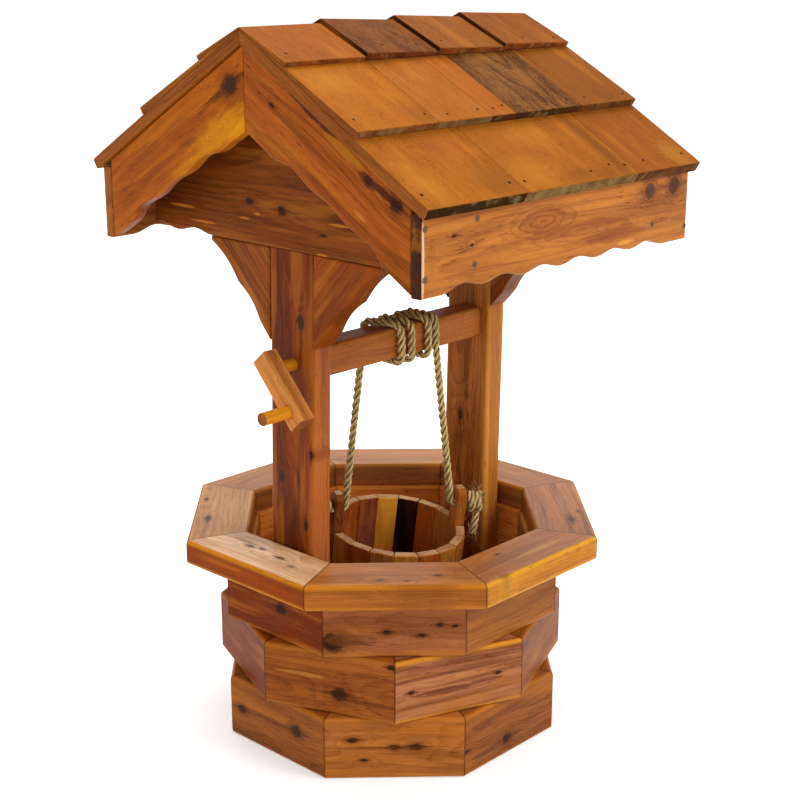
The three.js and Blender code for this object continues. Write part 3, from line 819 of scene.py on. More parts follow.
@dataclass
class Joinery:
    """The sawn boards that keep the frame's own solids: each is a merged copy with its own wood."""

    painter: CedarPainter
    merge_m: float = 2e-6
    side_angle: float = 2 * math.pi / 8
    pitch: float = ROOF_PITCH
    brace_lean: float = math.atan2(134, 127)

    def copy_of(self, node: str, slot: str, body: str = "well") -> Object:
        """A copy of a node's solid with its corners merged, in place of the node.

        Args:
            node: The node's name.
            slot: The record's material slot; not used.
            body: The body it rides on.

        Returns:
            The new piece.
        """
        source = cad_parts[node]
        corners = np.zeros(len(source.data.vertices) * 3, np.float32)
        source.data.vertices.foreach_get("co", corners)
        keys = np.round(corners.reshape(-1, 3) / self.merge_m).astype(np.int64)
        unique, index = np.unique(keys, axis=0, return_inverse=True)
        places = np.zeros((len(unique), 3))
        places[index.ravel()] = corners.reshape(-1, 3)
        loops = np.zeros(len(source.data.loops), np.int32)
        source.data.loops.foreach_get("vertex_index", loops)
        triangles = index.ravel()[loops].reshape(-1, 3)
        piece = mesh_object(f"{node}_wood", places, triangles.tolist())
        even_normals(piece)
        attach(piece, body)
        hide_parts(node)
        return piece

    def dress(self, piece: Object, finish: CedarFinish, grain: Grain,
              half_mm: tuple[float, float], turn: float = 0.0,
              knots: tuple[Knot, ...] = (), end_tone: CedarFinish | None = None,
              marks: tuple[Mark, ...] = (), lit_face_tone: CedarFinish | None = None,
              face: tuple = (0.0, 0.0, 1.0)) -> None:
        """Gives a board its wood, its sawn ends their own tone, and one of its faces a copy of the
        wood painted lighter, as painted light on that face.

        Args:
            piece: The board.
            finish: Its wood.
            grain: How its grain lies.
            half_mm: Half its width and half its thickness.
            turn: The angle that goes with the grain.
            knots: Its set knots.
            end_tone: The wood of its sawn ends, if they show.
            marks: Its set marks.
            lit_face_tone: A lighter copy of the wood for one flat face, painted light, if given.
            face: Where that face looks.
        """
        centre = piece_centre(piece)
        own_middle = piece_centre(piece, self.painter.axes(grain, turn))
        for name, tone in ((piece.name, finish), (f"{piece.name}_face", lit_face_tone)):
            if tone is not None:
                piece.data.materials.append(self.painter.material(
                    name, tone, grain, centre, half_mm, turn, knots, marks, own_middle))
        # The faces that look along face get the painted light of the second material.
        if lit_face_tone is not None:
            self.paint_where(piece, face, 1)
        if end_tone is not None:
            piece.data.materials.append(self.painter.material(
                f"{piece.name}_end", end_tone, grain, centre, NO_EDGES_MM, turn))
            self.paint_where(piece, self.painter.axes(grain, turn)[0], 1)

    def paint_where(self, piece: Object, direction: tuple, slot: int) -> None:
        """Gives a material slot to the faces that look along a direction, either way."""
        count = len(piece.data.polygons)
        normals = np.zeros(count * 3, np.float32)
        slots = np.zeros(count, np.int32)
        piece.data.polygons.foreach_get("normal", normals)
        piece.data.polygons.foreach_get("material_index", slots)
        slots[np.abs(normals.reshape(-1, 3) @ np.array(direction)) > 0.9] = slot
        piece.data.polygons.foreach_set("material_index", slots)


def piece_centre(piece: Object, axes: Matrix | None = None) -> Vector:
    """The middle of a piece's box, in metres, in the row frame or along a board's directions."""
    points = np.zeros(len(piece.data.vertices) * 3, np.float32)
    piece.data.vertices.foreach_get("co", points)
    points = points.reshape(-1, 3)
    if axes is not None:
        points = points @ np.array(axes).T
    return Vector(((points.min(0) + points.max(0)) / 2).tolist())


@dataclass
class WellRings:
    """Three courses of eight boards and the mitred cap, each board from its own length of wood."""

    joinery: Joinery
    course_half_mm: tuple[float, float] = (48.5, 19.0)
    cap_half_mm: tuple[float, float] = (44.5, 19.0)
    sides: int = 8
    courses: int = 3
    knots: dict[str, tuple[Knot, ...]] = field(default_factory=lambda: {
        "course_3_board_3": (Knot(-17, 2, 9),),
        "course_3_board_4": (Knot(88, -24, 13), Knot(11, -9, 4), Knot(-38, -14, 3.5),
                             Knot(-65, 2, 3), Knot(-86, 0, 2.5)),
        "course_2_board_3": (Knot(-11, -15, 10), Knot(-94, 41, 4.5)),
        "course_2_board_4": (Knot(72, -2, 3), Knot(-68, 2, 2.5)),
        "course_1_board_3": (Knot(78, 1, 7), Knot(-43, 8, 9)),
        "course_1_board_4": (Knot(62, 15, 4.5), Knot(0, 2, 4.5), Knot(-30, 3, 6),
                             Knot(45, -18, 3)),
        "course_1_board_5": (Knot(7, -22, 8), Knot(98, -8, 3)),
        "cap_board_6": (Knot(54, -3, 6), Knot(20, 12, 3)),
        "cap_board_3": (Knot(41, -6, 4), Knot(19, -10, 3), Knot(-25, -4, 4), Knot(-60, 5, 3)),
        "cap_board_2": (Knot(-34, 2, 5), Knot(51, 12, 3)),
        "cap_board_5": (Knot(84, 40, 4), Knot(30, -18, 2.5)),
        "cap_board_4": (Knot(20, 4, 2.5), Knot(-16, 8, 2), Knot(-60, -10, 2.5)),
    })
    marks: dict[str, tuple[Mark, ...]] = field(default_factory=lambda: {
        "course_2_board_4": (Mark(20, -9, 110, 11, "#64301C", 0.7),
                             Mark(-52, -5, 60, 6, "#64301C", 0.6)),
        "course_2_board_3": (Mark(-62, -22, 120, 8, "#59290F", 0.6),
                             Mark(48, 8, 90, 7, "#C98A3A", 0.5)),
        "course_1_board_3": (Mark(18, 6, 110, 9, "#59290F", 0.5),),
        "course_1_board_4": (Mark(10, 2, 150, 4, "#6A3412", 0.6),),
        "course_1_board_5": (Mark(60, -26, 70, 9, "#5E2C12", 0.6),
                             Mark(-30, 20, 120, 10, "#7C421C", 0.5)),
        "course_3_board_4": (Mark(70, -20, 60, 22, "#7A4520", 0.5),
                             Mark(-20, 28, 200, 7, "#8C4E2A", 0.4)),
        "cap_board_4": (Mark(-40, 24, 120, 6, "#8B4C20", 0.5),
                        Mark(40, -12, 150, 6, "#9A5A2A", 0.5)),
        "cap_board_5": (Mark(86, 46, 70, 26, "#DE9A2C", 0.4, soft=0.5),
                        Mark(40, -8, 130, 5, "#7A4018", 0.5),
                        Mark(-30, 12, 110, 12, "#D99A4A", 0.5)),
        # The two pale pink marks on cap_board_3 are a painted sheen on its upper face.
        "cap_board_3": (Mark(40, 16, 90, 14, "#E3BE94", 0.6),
                        Mark(-40, 2, 110, 12, "#DDB284", 0.5),
                        Mark(60, -14, 60, 10, "#8C5225", 0.5)),
    })

    def tones(self) -> dict[str, CedarFinish]:
        """The boards that stand out from the rest, by name."""
        plain = CedarFinish()
        low = replace(plain, ior=1.25)
        # Painted light: the far boards seen inside the well take a much brighter copy of the wood.
        inner = toned(plain, "#F18C38", "#AB561E")
        return {
            "course_1_board_3": toned(plain, "#A85E21", "#753A0E"),
            "course_1_board_4": toned(plain, "#C27435", "#8E4D1D"),
            "course_1_board_5": toned(plain, "#A65F25", "#713A14"),
            "course_2_board_2": toned(low, "#8C3A0C", "#602206"),
            "course_2_board_3": toned(plain, "#B06126", "#7B3E16", glow_share=0.5),
            "course_2_board_4": toned(plain, "#C07B4E", "#884C2C",
                                      edge="#E3962A", edge_share=0.9, plum_share=0.6),
            "course_2_board_5": toned(low, "#975524", "#673514"),
            "course_3_board_3": toned(low, "#853604", "#602204"),
            "course_3_board_4": toned(plain, "#B0683C", "#804727"),
            "course_3_board_5": toned(plain, "#A96628", "#7F481C"),
            "course_3_board_7": inner,
            "course_3_board_8": inner,
            "course_3_board_1": inner,
            "cap_board_2": toned(plain, "#964E1D", "#6C3411"),
            "cap_board_3": toned(low, "#A24404", "#7E3E08", edge="#E08E20", edge_share=0.8),
            "cap_board_4": toned(plain, "#B96B2D", "#85481A", edge="#D2811F", edge_share=0.8),
            "cap_board_5": toned(plain, "#CE8120", "#9A5714", sap="#E09A24",
                                 edge="#E8A52C", edge_share=0.8),
            "cap_board_6": toned(plain, "#A9652B", "#7E461C"),
            "cap_board_7": toned(plain, "#9F5E28", "#72401A"),
            "cap_board_8": toned(plain, "#9F5E2E", "#72401F"),
        }

    def sheen_painted_top_tones(self) -> dict[str, CedarFinish]:
        """The cap boards' upper faces: paler copies of their wood that paint the sheen of the light
        falling on them, and a little glossy.
        """
        top = CedarFinish(heart="#BC7A42", dark="#8A4F24", edge="#D89A58", gloss=0.42,
                          gloss_tint="#FFF2E0", roughness=0.40, fleck_share=0.45)
        return {
            "cap_board_1": top,
            "cap_board_2": toned(top, "#DA9C5B", "#A66D3A"),
            "cap_board_3": toned(top, "#FACB9C", "#B8834E", roughness=0.36),
            "cap_board_4": toned(top, "#D18039", "#A05B23"),
            "cap_board_5": toned(top, "#C17532", "#904E1E"),
            "cap_board_6": toned(top, "#AF6C3A", "#7B4422", plum_share=0.6),
            "cap_board_7": toned(top, "#B06E3C", "#834A24"),
            "cap_board_8": toned(top, "#C8864C", "#9A5E30"),
        }

    def build(self) -> None:
        """Makes and dresses every ring board."""
        tones = self.tones()
        sheen_painted_tops = self.sheen_painted_top_tones()
        plain = CedarFinish(heart="#A3602B", dark="#744019", wild_knots=0.3)
        for course in range(self.courses + 1):
            capped = course == self.courses
            stagger = self.joinery.side_angle / 2 if course == 1 else 0.0
            for i in range(self.sides):
                node = f"cap_board_{i + 1}" if capped else f"course_{course + 1}_board_{i + 1}"
                piece = self.joinery.copy_of(node, "cap_cedar" if capped else "course_cedar")
                outward = math.pi / 2 + stagger + i * self.joinery.side_angle
                # Each cap board's upper face takes its paler copy of the wood, a painted sheen.
                self.joinery.dress(
                    piece, tones.get(node, plain), Grain.CAP if capped else Grain.COURSE,
                    self.cap_half_mm if capped else self.course_half_mm, outward,
                    self.knots.get(node, ()), marks=self.marks.get(node, ()),
                    lit_face_tone=sheen_painted_tops.get(node))
        log.info("well rings: %d boards", self.sides * (self.courses + 1))


@dataclass
class RoofTrim:
    """Posts, gable headers, braces, rakes and fascias."""

    joinery: Joinery

    def posts(self) -> None:
        """The near post is dark with a knotty streak, the far one has a pale sapwood side. The
        narrow faces of both take a lighter copy of their post's wood, painted light.
        """
        near = CedarFinish(heart="#8E3C0E", dark="#551D04", ring_share=0.5, patch_share=0.9,
                           edge="#B8692C", pith_mm=(10.0, 45.0), edge_share=0.7)
        far = CedarFinish(heart="#D17A31", dark="#844518", edge="#D88E40", edge_share=1.0,
                          patch_share=0.9)
        marks = {
            "crank_post": (
                Mark(255, 6, 130, 22, "#5E1E0A", 0.6), Mark(130, -24, 150, 8, "#5B200C", 0.6),
                Mark(-60, 10, 220, 10, "#6B2A10", 0.5), Mark(-150, -12, 160, 9, "#5E240E", 0.5),
                Mark(40, 34, 180, 8, "#B06A34", 0.4), Mark(-60, -38, 260, 7, "#A65E30", 0.4)),
            "far_post": (
                Mark(-40, 37, 420, 13, "#B5702E", 0.8), Mark(-60, -31, 420, 9, "#9A5A26", 0.6),
                Mark(60, -24, 260, 7, "#A9652B", 0.6), Mark(-120, 12, 240, 20, "#55270C", 0.6)),
        }
        # Painted light: lighter copies of each post's wood for its narrow faces.
        near_lit_side = toned(near, "#BE6A32", "#8A4520", patch_share=0.5)
        far_lit_side = toned(far, "#C47A34", "#8E4E20", edge="#D88E30",
                         patch_share=0.4, edge_share=1.0)
        for node, finish, lit_side_tone, knots in (
            ("crank_post", near, near_lit_side, (Knot(93, -40, 4), Knot(48, 19, 7),
                                             Knot(-14, -30, 5), Knot(285, -19, 8))),
            ("far_post", far, far_lit_side, (Knot(60, 10, 5),)),
        ):
            piece = self.joinery.copy_of(node, "frame_cedar")
            self.joinery.dress(piece, finish, Grain.POST, (44.5, 19.0), 0.0, knots,
                               marks=marks[node], lit_face_tone=lit_side_tone, face=(0.0, 1.0, 0.0))

    def headers(self) -> None:
        """The headers are dark, with short pale dashes of sapwood, and a painted shadow of the roof
        across their top.
        """
        finish = CedarFinish(heart="#8A4414", dark="#4E2208", ring_mm=7.0, ring_share=0.5,
                             patch_share=0.6, edge_share=0.1, fleck_share=0.3, gloss=0.08,
                             plum_share=0.15)
        knots = (Knot(84, -32, 5), Knot(16, -38, 7), Knot(-65, -63, 3))
        sap = "#CD7920"
        marks = (
            Mark(234, -54, 62, 5, sap), Mark(187, -73, 62, 4, sap), Mark(96, -57, 24, 3.5, sap),
            Mark(69, -48, 15, 4, sap), Mark(-97, -45, 44, 4, sap), Mark(-62, -90, 26, 4, sap),
            # Painted shadow of the roof over the header's top.
            Mark(40, 66, 120, 50, "#3A1806", 0.7, soft=0.6),
            Mark(120, -70, 60, 40, "#9A5424", 0.5, 3.0, 0.5),
            Mark(0, -10, 230, 9, "#914718", 0.6), Mark(110, 12, 200, 10, "#864015", 0.6),
            Mark(-60, 22, 240, 8, "#8B4316", 0.5), Mark(60, -74, 50, 26, "#823D15", 0.7),
            Mark(-110, -70, 150, 14, "#934C19", 0.6))
        for node in ("crank_gable_header", "far_gable_header"):
            piece = self.joinery.copy_of(node, "frame_cedar")
            self.joinery.dress(piece, finish, Grain.HEADER, (92.0, 19.0), 0.0, knots,
                               marks=marks)

    def braces(self) -> None:
        """The braces' grain runs from tip to tip."""
        tones = {"front": CedarFinish(heart="#9E490E", dark="#632C06", ring_mm=6.0,
                                      edge_share=0.2),
                 "back": CedarFinish(heart="#9C5016", dark="#562408", ring_mm=6.0,
                                     edge_share=0.2)}
        marks = {"back": (Mark(-22, -2, 62, 10, "#3E1A08", 0.8),
                          Mark(12, 8, 40, 8, "#4A200A", 0.7),
                          Mark(20, -14, 60, 9, "#B5702C", 0.5)),
                 "front": (Mark(-10, -6, 80, 7, "#6B340E", 0.5),)}
        for end in ("crank", "far"):
            for slope, side in (("front", 1), ("back", -1)):
                piece = self.joinery.copy_of(f"{end}_{slope}_brace", "frame_cedar")
                turn = math.pi - side * self.joinery.brace_lean
                self.joinery.dress(piece, tones[slope], Grain.SLOPE, NO_EDGES_MM, turn,
                                   marks=marks[slope])

    def rakes(self) -> None:
        """The rakes' grain runs up the slope, and sapwood shows at the near back one's foot."""
        wood = CedarFinish(heart="#B66217", dark="#803D0B", ring_mm=6.0, edge_share=0.2,
                           ior=1.3)
        tones = {
            "crank_front_rake": toned(wood, "#B65C1D", "#75360C"),
            "crank_back_rake": toned(wood, "#BC611A", "#883E0B", sap="#D77A13"),
        }
        knots = {
            "crank_back_rake": (Knot(152, -16, 13),),
            "crank_front_rake": (Knot(-127, 34, 9), Knot(-73, 31, 5), Knot(118, 12, 3)),
        }
        gold, umber = "#E29418", "#451B08"
        marks = {
            "crank_back_rake": (
                Mark(104, 26, 150, 40, gold, 0.75, soft=0.55),
                Mark(146, 42, 80, 18, gold, 0.8, soft=0.4),
                Mark(88, 22, 90, 26, "#A8501A", 0.6, 4.0, 0.5),
                Mark(15, 35, 110, 18, gold, 0.4, soft=0.5),
                Mark(40, 18, 70, 28, "#8A4412", 0.6, 4.0, 0.5),
                Mark(152, -16, 40, 30, "#6A3412", 0.6, soft=0.4),
                Mark(152, -16, 28, 22, "#3C261C", 0.95, soft=0.15),
                Mark(-131, 52, 50, 4, "#E0A65A", 0.6), Mark(-60, 10, 120, 12, "#823913", 0.45),
                Mark(-90, -16, 140, 9, "#8A4212", 0.4), Mark(-118, 40, 60, 7, "#7E3A12", 0.6)),
            "crank_front_rake": (
                Mark(85, 47, 40, 9, umber), Mark(54, 44, 50, 10, umber),
                Mark(16, 43, 46, 9, umber), Mark(-21, 38, 90, 13, "#AF6C19", 0.8),
                Mark(-73, 31, 40, 16, umber, 0.7), Mark(-102, 34, 44, 13, umber, 0.8),
                Mark(-84, -16, 30, 6, "#C4833C", 0.6), Mark(60, 8, 160, 9, "#682C0B", 0.5)),
        }
        for end in ("crank", "far"):
            for slope, side in (("front", -1), ("back", 1)):
                node = f"{end}_{slope}_rake"
                piece = self.joinery.copy_of(node, "trim_cedar")
                turn = self.joinery.pitch if side < 0 else math.pi - self.joinery.pitch
                self.joinery.dress(piece, tones.get(node, wood), Grain.SLOPE, NO_EDGES_MM,
                                   turn, knots.get(node, ()), marks=marks.get(node, ()))

    def fascias(self) -> None:
        """The fascias have arched figure, two knots at the far end and dark sawn ends."""
        wood = CedarFinish(heart="#BB7230", dark="#925020", ring_mm=9.0, ring_share=0.55,
                           pith_mm=(30.0, 38.0), wild_knots=0.1)
        ends = CedarFinish(heart="#49240B", dark="#200E05", edge_share=0.0)
        back_ends = CedarFinish(heart="#A0602C", dark="#7A4018", edge_share=0.0)
        knots = (Knot(191, 29, 8), Knot(251, 31, 10), Knot(-229, 20, 2.5), Knot(-195, 4, 2))
        gold, plum = "#CD802A", "#86411F"
        marks = (
            Mark(191, 29, 56, 42, "#99511E", 0.5), Mark(251, 31, 56, 44, "#954D1D", 0.5),
            Mark(-49, 18, 120, 34, plum, 0.45), Mark(-49, 18, 70, 16, "#AE6229", 0.6),
            Mark(6, -3, 240, 16, plum, 0.45), Mark(110, -23, 160, 20, plum, 0.6),
            Mark(-130, 2, 110, 9, gold, 0.4), Mark(135, -37, 46, 7, "#DFA04C", 0.6),
            Mark(-60, -26, 200, 10, gold, 0.4), Mark(-190, -30, 150, 8, plum, 0.4),
            Mark(60, 24, 160, 9, gold, 0.4), Mark(-52, 16, 170, 52, "#6A3216", 0.8, 4.0, 0.5),
            Mark(30, -6, 260, 48, "#7A3C1A", 0.6, 4.0, 0.5),
            Mark(191, 29, 64, 52, "#4E220D", 1.0, 5.0, 0.5),
            Mark(251, 31, 64, 54, "#4E220D", 1.0, 5.0, 0.5),
            Mark(191, 29, 26, 25, "#46281A", 0.85, soft=0.3),
            Mark(251, 31, 30, 28, "#3E2418", 0.9, soft=0.3),
            Mark(-270, -2, 16, 50, "#6A3412", 0.8, 5.0),
            # A painted highlight: the pale line along the near end's eased edge.
            Mark(-286, -6, 6, 110, "#E6C2A0", 0.8))
        for node, set_knots, set_marks, end_tone in (
            ("front_fascia", knots, marks, ends),
            ("back_fascia", (), (), back_ends),
        ):
            piece = self.joinery.copy_of(node, "trim_cedar")
            self.joinery.dress(piece, wood, Grain.FASCIA, (52.0, 9.5), 0.0, set_knots,
                               end_tone, set_marks)

    def build(self) -> None:
        """Makes and dresses the roof's frame and trim."""
        self.posts()
        self.headers()
        self.braces()
        self.rakes()
        self.fascias()
        log.info("roof trim: 14 boards")


@dataclass(frozen=True)
class Shingle:
    """One shingle: where it starts and ends along the ridge, in mm, and its wood."""

    near_mm: float
    far_mm: float
    wood: CedarFinish
    butt: str = "#7A5230"
    marks: tuple[Mark, ...] = ()


@dataclass
class ShingledRoof:
    """The roof's three rows on each slope, every shingle a piece of its own.

    A place on a slope is x along the ridge, s down the slope from the ridge and o out from the
    underside of the roof boards. It maps to y = -(s cos + o sin) and z = ridge - s sin + o cos.
    """

    joinery: Joinery
    pitch: float = ROOF_PITCH
    ridge_z: float = 1.0485
    near_mm: float = -284.0
    far_mm: float = 304.0
    gap_mm: float = 0.5
    bed_mm: float = 0.3
    board_mm: float = 16.0
    board_length_mm: float = 380.0
    thin_mm: float = 1.2
    middle_butt_mm: float = 11.3
    middle_length_mm: float = 236.0
    ridge_butt_mm: float = 7.5
    ridge_length_mm: float = 86.0
    lift_mm: float = 5.5
    lift_low_share: float = 0.15
    ease_mm: float = 1.2

    def rows(self) -> dict[str, tuple[Shingle, ...]]:
        """The shingles of each row on the front slope, from the crank end to the far end."""
        rough = CedarFinish(heart="#A4591B", dark="#7C3E10", ring_share=0.12, patch_share=0.35,
                            fleck_share=0.35, edge_share=0.0, wild_knots=0.0, roughness=0.62,
                            coat=0.0, ring_mm=5.0, fibre_share=0.25, saw_share=2.0,
                            blotch_share=1.5, glow_share=0.2, plum_share=0.05, gloss=0.06)
        weathered = toned(rough, "#75451A", "#3C2009", ring_share=0.7,
                          ring_mm=2.6, patch_share=0.5, fibre_share=0.9, saw_share=1.6,
                          glow_share=0.0, fleck_share=0.9)
        shade, gold, tan = "#6A3A12", "#BC7C2A", "#8A6A3A"
        return {
            "roof_boards": (
                Shingle(self.near_mm, -94, toned(rough, "#9A5715", "#793F0D"),
                        "#2A1C0A", (Mark(-160, -62, 70, 80, "#7C4A18", 0.65, soft=0.7),
                                    Mark(-70, -30, 60, 70, "#8C4E20", 0.4, soft=0.7),
                                    Mark(-150, 60, 90, 60, gold, 0.25, soft=0.7))),
                Shingle(-94, 149, toned(rough, "#925417", "#78400F"), tan, (
                    Mark(-120, -101, 200, 27, shade, 0.75, soft=0.7),
                    Mark(-160, 70, 80, 90, gold, 0.25, soft=0.7),
                    Mark(-80, 10, 60, 90, gold, 0.2, soft=0.7),
                    Mark(-176, -30, 30, 120, shade, 0.4, soft=0.7))),
                Shingle(149, self.far_mm, toned(rough, "#874A17", "#72390E"),
                        "#6A3D1C", (Mark(-166, -44, 70, 50, "#A8732A", 0.4, soft=0.7),))),
            "middle_shingles": (
                Shingle(self.near_mm, -133, toned(rough, "#9C5913", "#81430E"),
                        "#8A5228", (Mark(-96, -56, 60, 50, shade, 0.45, soft=0.7),
                                    Mark(-10, 30, 70, 70, gold, 0.25, soft=0.7))),
                Shingle(-133, -26, toned(rough, "#98571A", "#814413"), "#8A6A3A"),
                Shingle(-26, 24, toned(rough, "#98541A", "#804012"), "#5A2E12"),
                Shingle(24, 171, toned(weathered, "#7E4E20", "#3C200A"), "#4A2E14"),
                Shingle(171, self.far_mm, toned(rough, "#7C4614", "#66330D"),
                        "#7A4A22", (Mark(-90, 0, 50, 120, shade, 0.4, soft=0.7),))),
            "ridge_shingles": (
                Shingle(self.near_mm, -137, toned(rough, "#8E4D15", "#763D0C"), "#9A4E22"),
                Shingle(-137, 8, toned(weathered, "#733F17", "#432009",
                                       ring_share=0.3), "#7A3A1A"),
                Shingle(8, 150, toned(rough, "#804817", "#69370E"), "#96481C"),
                Shingle(150, self.far_mm, toned(rough, "#7A4212", "#64330B"), "#8E441A")),
        }

    def under(self, row: str, s: np.ndarray) -> np.ndarray:
        """How far out a row's underside is at s, in mm."""
        middle = self.board_mm + self.bed_mm
        if row == "roof_boards":
            return np.zeros_like(s)
        if row == "middle_shingles":
            return np.full_like(s, middle)
        return middle + self.thick("middle_shingles", s) + self.bed_mm

    def thick(self, row: str, s: np.ndarray) -> np.ndarray:
        """A row's thickness at s, in mm: even for boards, a straight taper for shingles."""
        if row == "roof_boards":
            return np.full_like(s, self.board_mm)
        if row == "middle_shingles":
            return self.thin_mm + (self.middle_butt_mm - self.thin_mm) * s / self.middle_length_mm
        return self.thin_mm + (self.ridge_butt_mm - self.thin_mm) * s / self.ridge_length_mm

    def length(self, row: str) -> float:
        """How far down the slope a row reaches, in mm."""
        return {"roof_boards": self.board_length_mm, "middle_shingles": self.middle_length_mm,
                "ridge_shingles": self.ridge_length_mm}[row]

    def on_slope(self, s: float | np.ndarray, out: float | np.ndarray) -> tuple:
        """How far a place is from the ridge's line and how high, in mm, from its s and out."""
        sin, cos = math.sin(self.pitch), math.cos(self.pitch)
        return s * cos + out * sin, self.ridge_z / MM - s * sin + out * cos

    def slab(self, row: str, shingle: Shingle, lifted: bool) -> tuple[np.ndarray, list]:
        """One shingle's surface: an eased bar whose height is squeezed to the row's taper.

        A bar of unit thickness runs down the slope. Its out share is turned into
        under + thick * share, plus a lift that falls from the near edge to the far one, and its
        upper end is sheared to a plumb cut.

        Args:
            row: The row's name.
            shingle: The shingle.
            lifted: Its near edge laps the neighbour.

        Returns:
            Points in metres and the faces.
        """
        width = shingle.far_mm - shingle.near_mm - self.gap_mm
        deep = self.thick(row, np.array([self.length(row)]))[0]
        points, faces = eased_bar(width, deep, self.length(row), self.ease_mm)
        share_x = points[:, 0] / width + 0.5
        out_share = points[:, 1] / deep + 0.5
        s = points[:, 2] + self.length(row) / 2
        x = points[:, 0] + (shingle.near_mm + shingle.far_mm) / 2
        out = self.under(row, s) + self.thick(row, s) * out_share
        if lifted:
            low = self.lift_low_share
            out = out + self.lift_mm * (1 - share_x) * (low + (1 - low) * out_share)
        start = (self.gap_mm / 2 - out * math.sin(self.pitch)) / math.cos(self.pitch)
        s = start + (s / self.length(row)) * (self.length(row) - start)
        y, z = self.on_slope(s, out)
        return np.stack([x, -y, z], axis=1) * MM, faces

    def build_slope(self, slope: str, side: int) -> None:
        """Builds one slope's rows. The back slope is the front one mirrored."""
        butt_wood = CedarFinish(dark="#3A2410", sap="#A58A50", patch_share=0.6,
                                glow_share=0.35, ring_share=0.2, edge_share=0.0, coat=0.0,
                                roughness=0.8, saw_share=0.8, gloss=0.05)
        side_wood = CedarFinish(heart="#A25A24", dark="#6E3814", edge_share=0.0, gloss=0.05)
        # Painted shade: near-black wood for the sides of lifted ridge shingles, under the lap.
        painted_shade_lapped_side = CedarFinish(heart="#3E2010", dark="#1E0F07", edge_share=0.0, gloss=0.05)
        for row, shingles in self.rows().items():
            for i, shingle in enumerate(shingles):
                lifted = row == "ridge_shingles" and i > 0
                points, faces = self.slab(row, shingle, lifted)
                if side > 0:
                    points = points * (1, -1, 1)
                    faces = [face[::-1] for face in faces]
                name = f"{slope}_{row}_{i + 1}"
                piece = mesh_object(name, points, faces)
                even_normals(piece)
                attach(piece, "well")
                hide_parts(f"{slope}_{row}")
                turn = self.pitch if side < 0 else math.pi - self.pitch
                self.joinery.dress(
                    piece, shingle.wood, Grain.SHINGLE, NO_EDGES_MM, turn,
                    end_tone=replace(butt_wood, heart=shingle.butt), marks=shingle.marks)
                piece.data.materials.append(self.joinery.painter.material(
                    f"{name}_side", painted_shade_lapped_side if lifted else side_wood, Grain.SLOPE,
                    piece_centre(piece), NO_EDGES_MM, turn))
                self.joinery.paint_where(piece, (1.0, 0.0, 0.0), 2)

    def build(self) -> None:
        """Builds both slopes."""
        self.build_slope("front", -1)
        self.build_slope("back", 1)
        log.info("shingled roof: 24 boards and shingles")


@dataclass
class RollerAndCrank:
    """The square roller, its dowel, and the crank's arm and handle."""

    joinery: Joinery
    block_mm: tuple[float, float] = (-163.6, 176.2)
    tilt: float = math.radians(-42)

    def build(self) -> None:
        """Dresses the roller's block and dowel, the arm and the handle."""
        block = CedarFinish(heart="#C26E32", dark="#8D4C21", ring_share=0.35, edge="#C07530")
        dowel = CedarFinish(heart="#E29322", dark="#C87417", ring_share=0.3, patch_share=0.4,
                            fleck_share=0.0, edge_share=0.0, wild_knots=0.0)
        ends = CedarFinish(heart="#8A4619", dark="#5E2B0D", edge_share=0.0, wild_knots=0.0)
        piece = self.joinery.copy_of("roller", "frame_cedar", "roller")
        self.joinery.dress(piece, block, Grain.TURNED, (23.5, 23.5))
        piece.data.materials.append(self.joinery.painter.material(
            "roller_dowel", dowel, Grain.TURNED, piece_centre(piece), NO_EDGES_MM))
        centres = np.zeros(len(piece.data.polygons) * 3, np.float32)
        piece.data.polygons.foreach_get("center", centres)
        along_x = centres.reshape(-1, 3)[:, 0] / MM
        beyond = (along_x < self.block_mm[0]) | (along_x > self.block_mm[1])
        piece.data.polygons.foreach_set("material_index", beyond.astype(np.int32))
        arm_wood = CedarFinish(heart="#E28E42", dark="#9A5224", ring_share=0.35,
                               patch_share=0.6, edge="#DC9A54", edge_share=0.5)
        arm = self.joinery.copy_of("crank_arm", "crank_cedar", "roller")
        self.joinery.dress(arm, arm_wood, Grain.SLOPE, (15.0, 13.0),
                           math.pi / 2 + self.tilt, end_tone=replace(arm_wood, heart="#9A5A30"))
        handle = self.joinery.copy_of("crank_handle", "crank_cedar", "roller")
        self.joinery.dress(handle, dowel, Grain.TURNED, NO_EDGES_MM, end_tone=ends)
        log.info("roller, dowel, crank arm and handle")


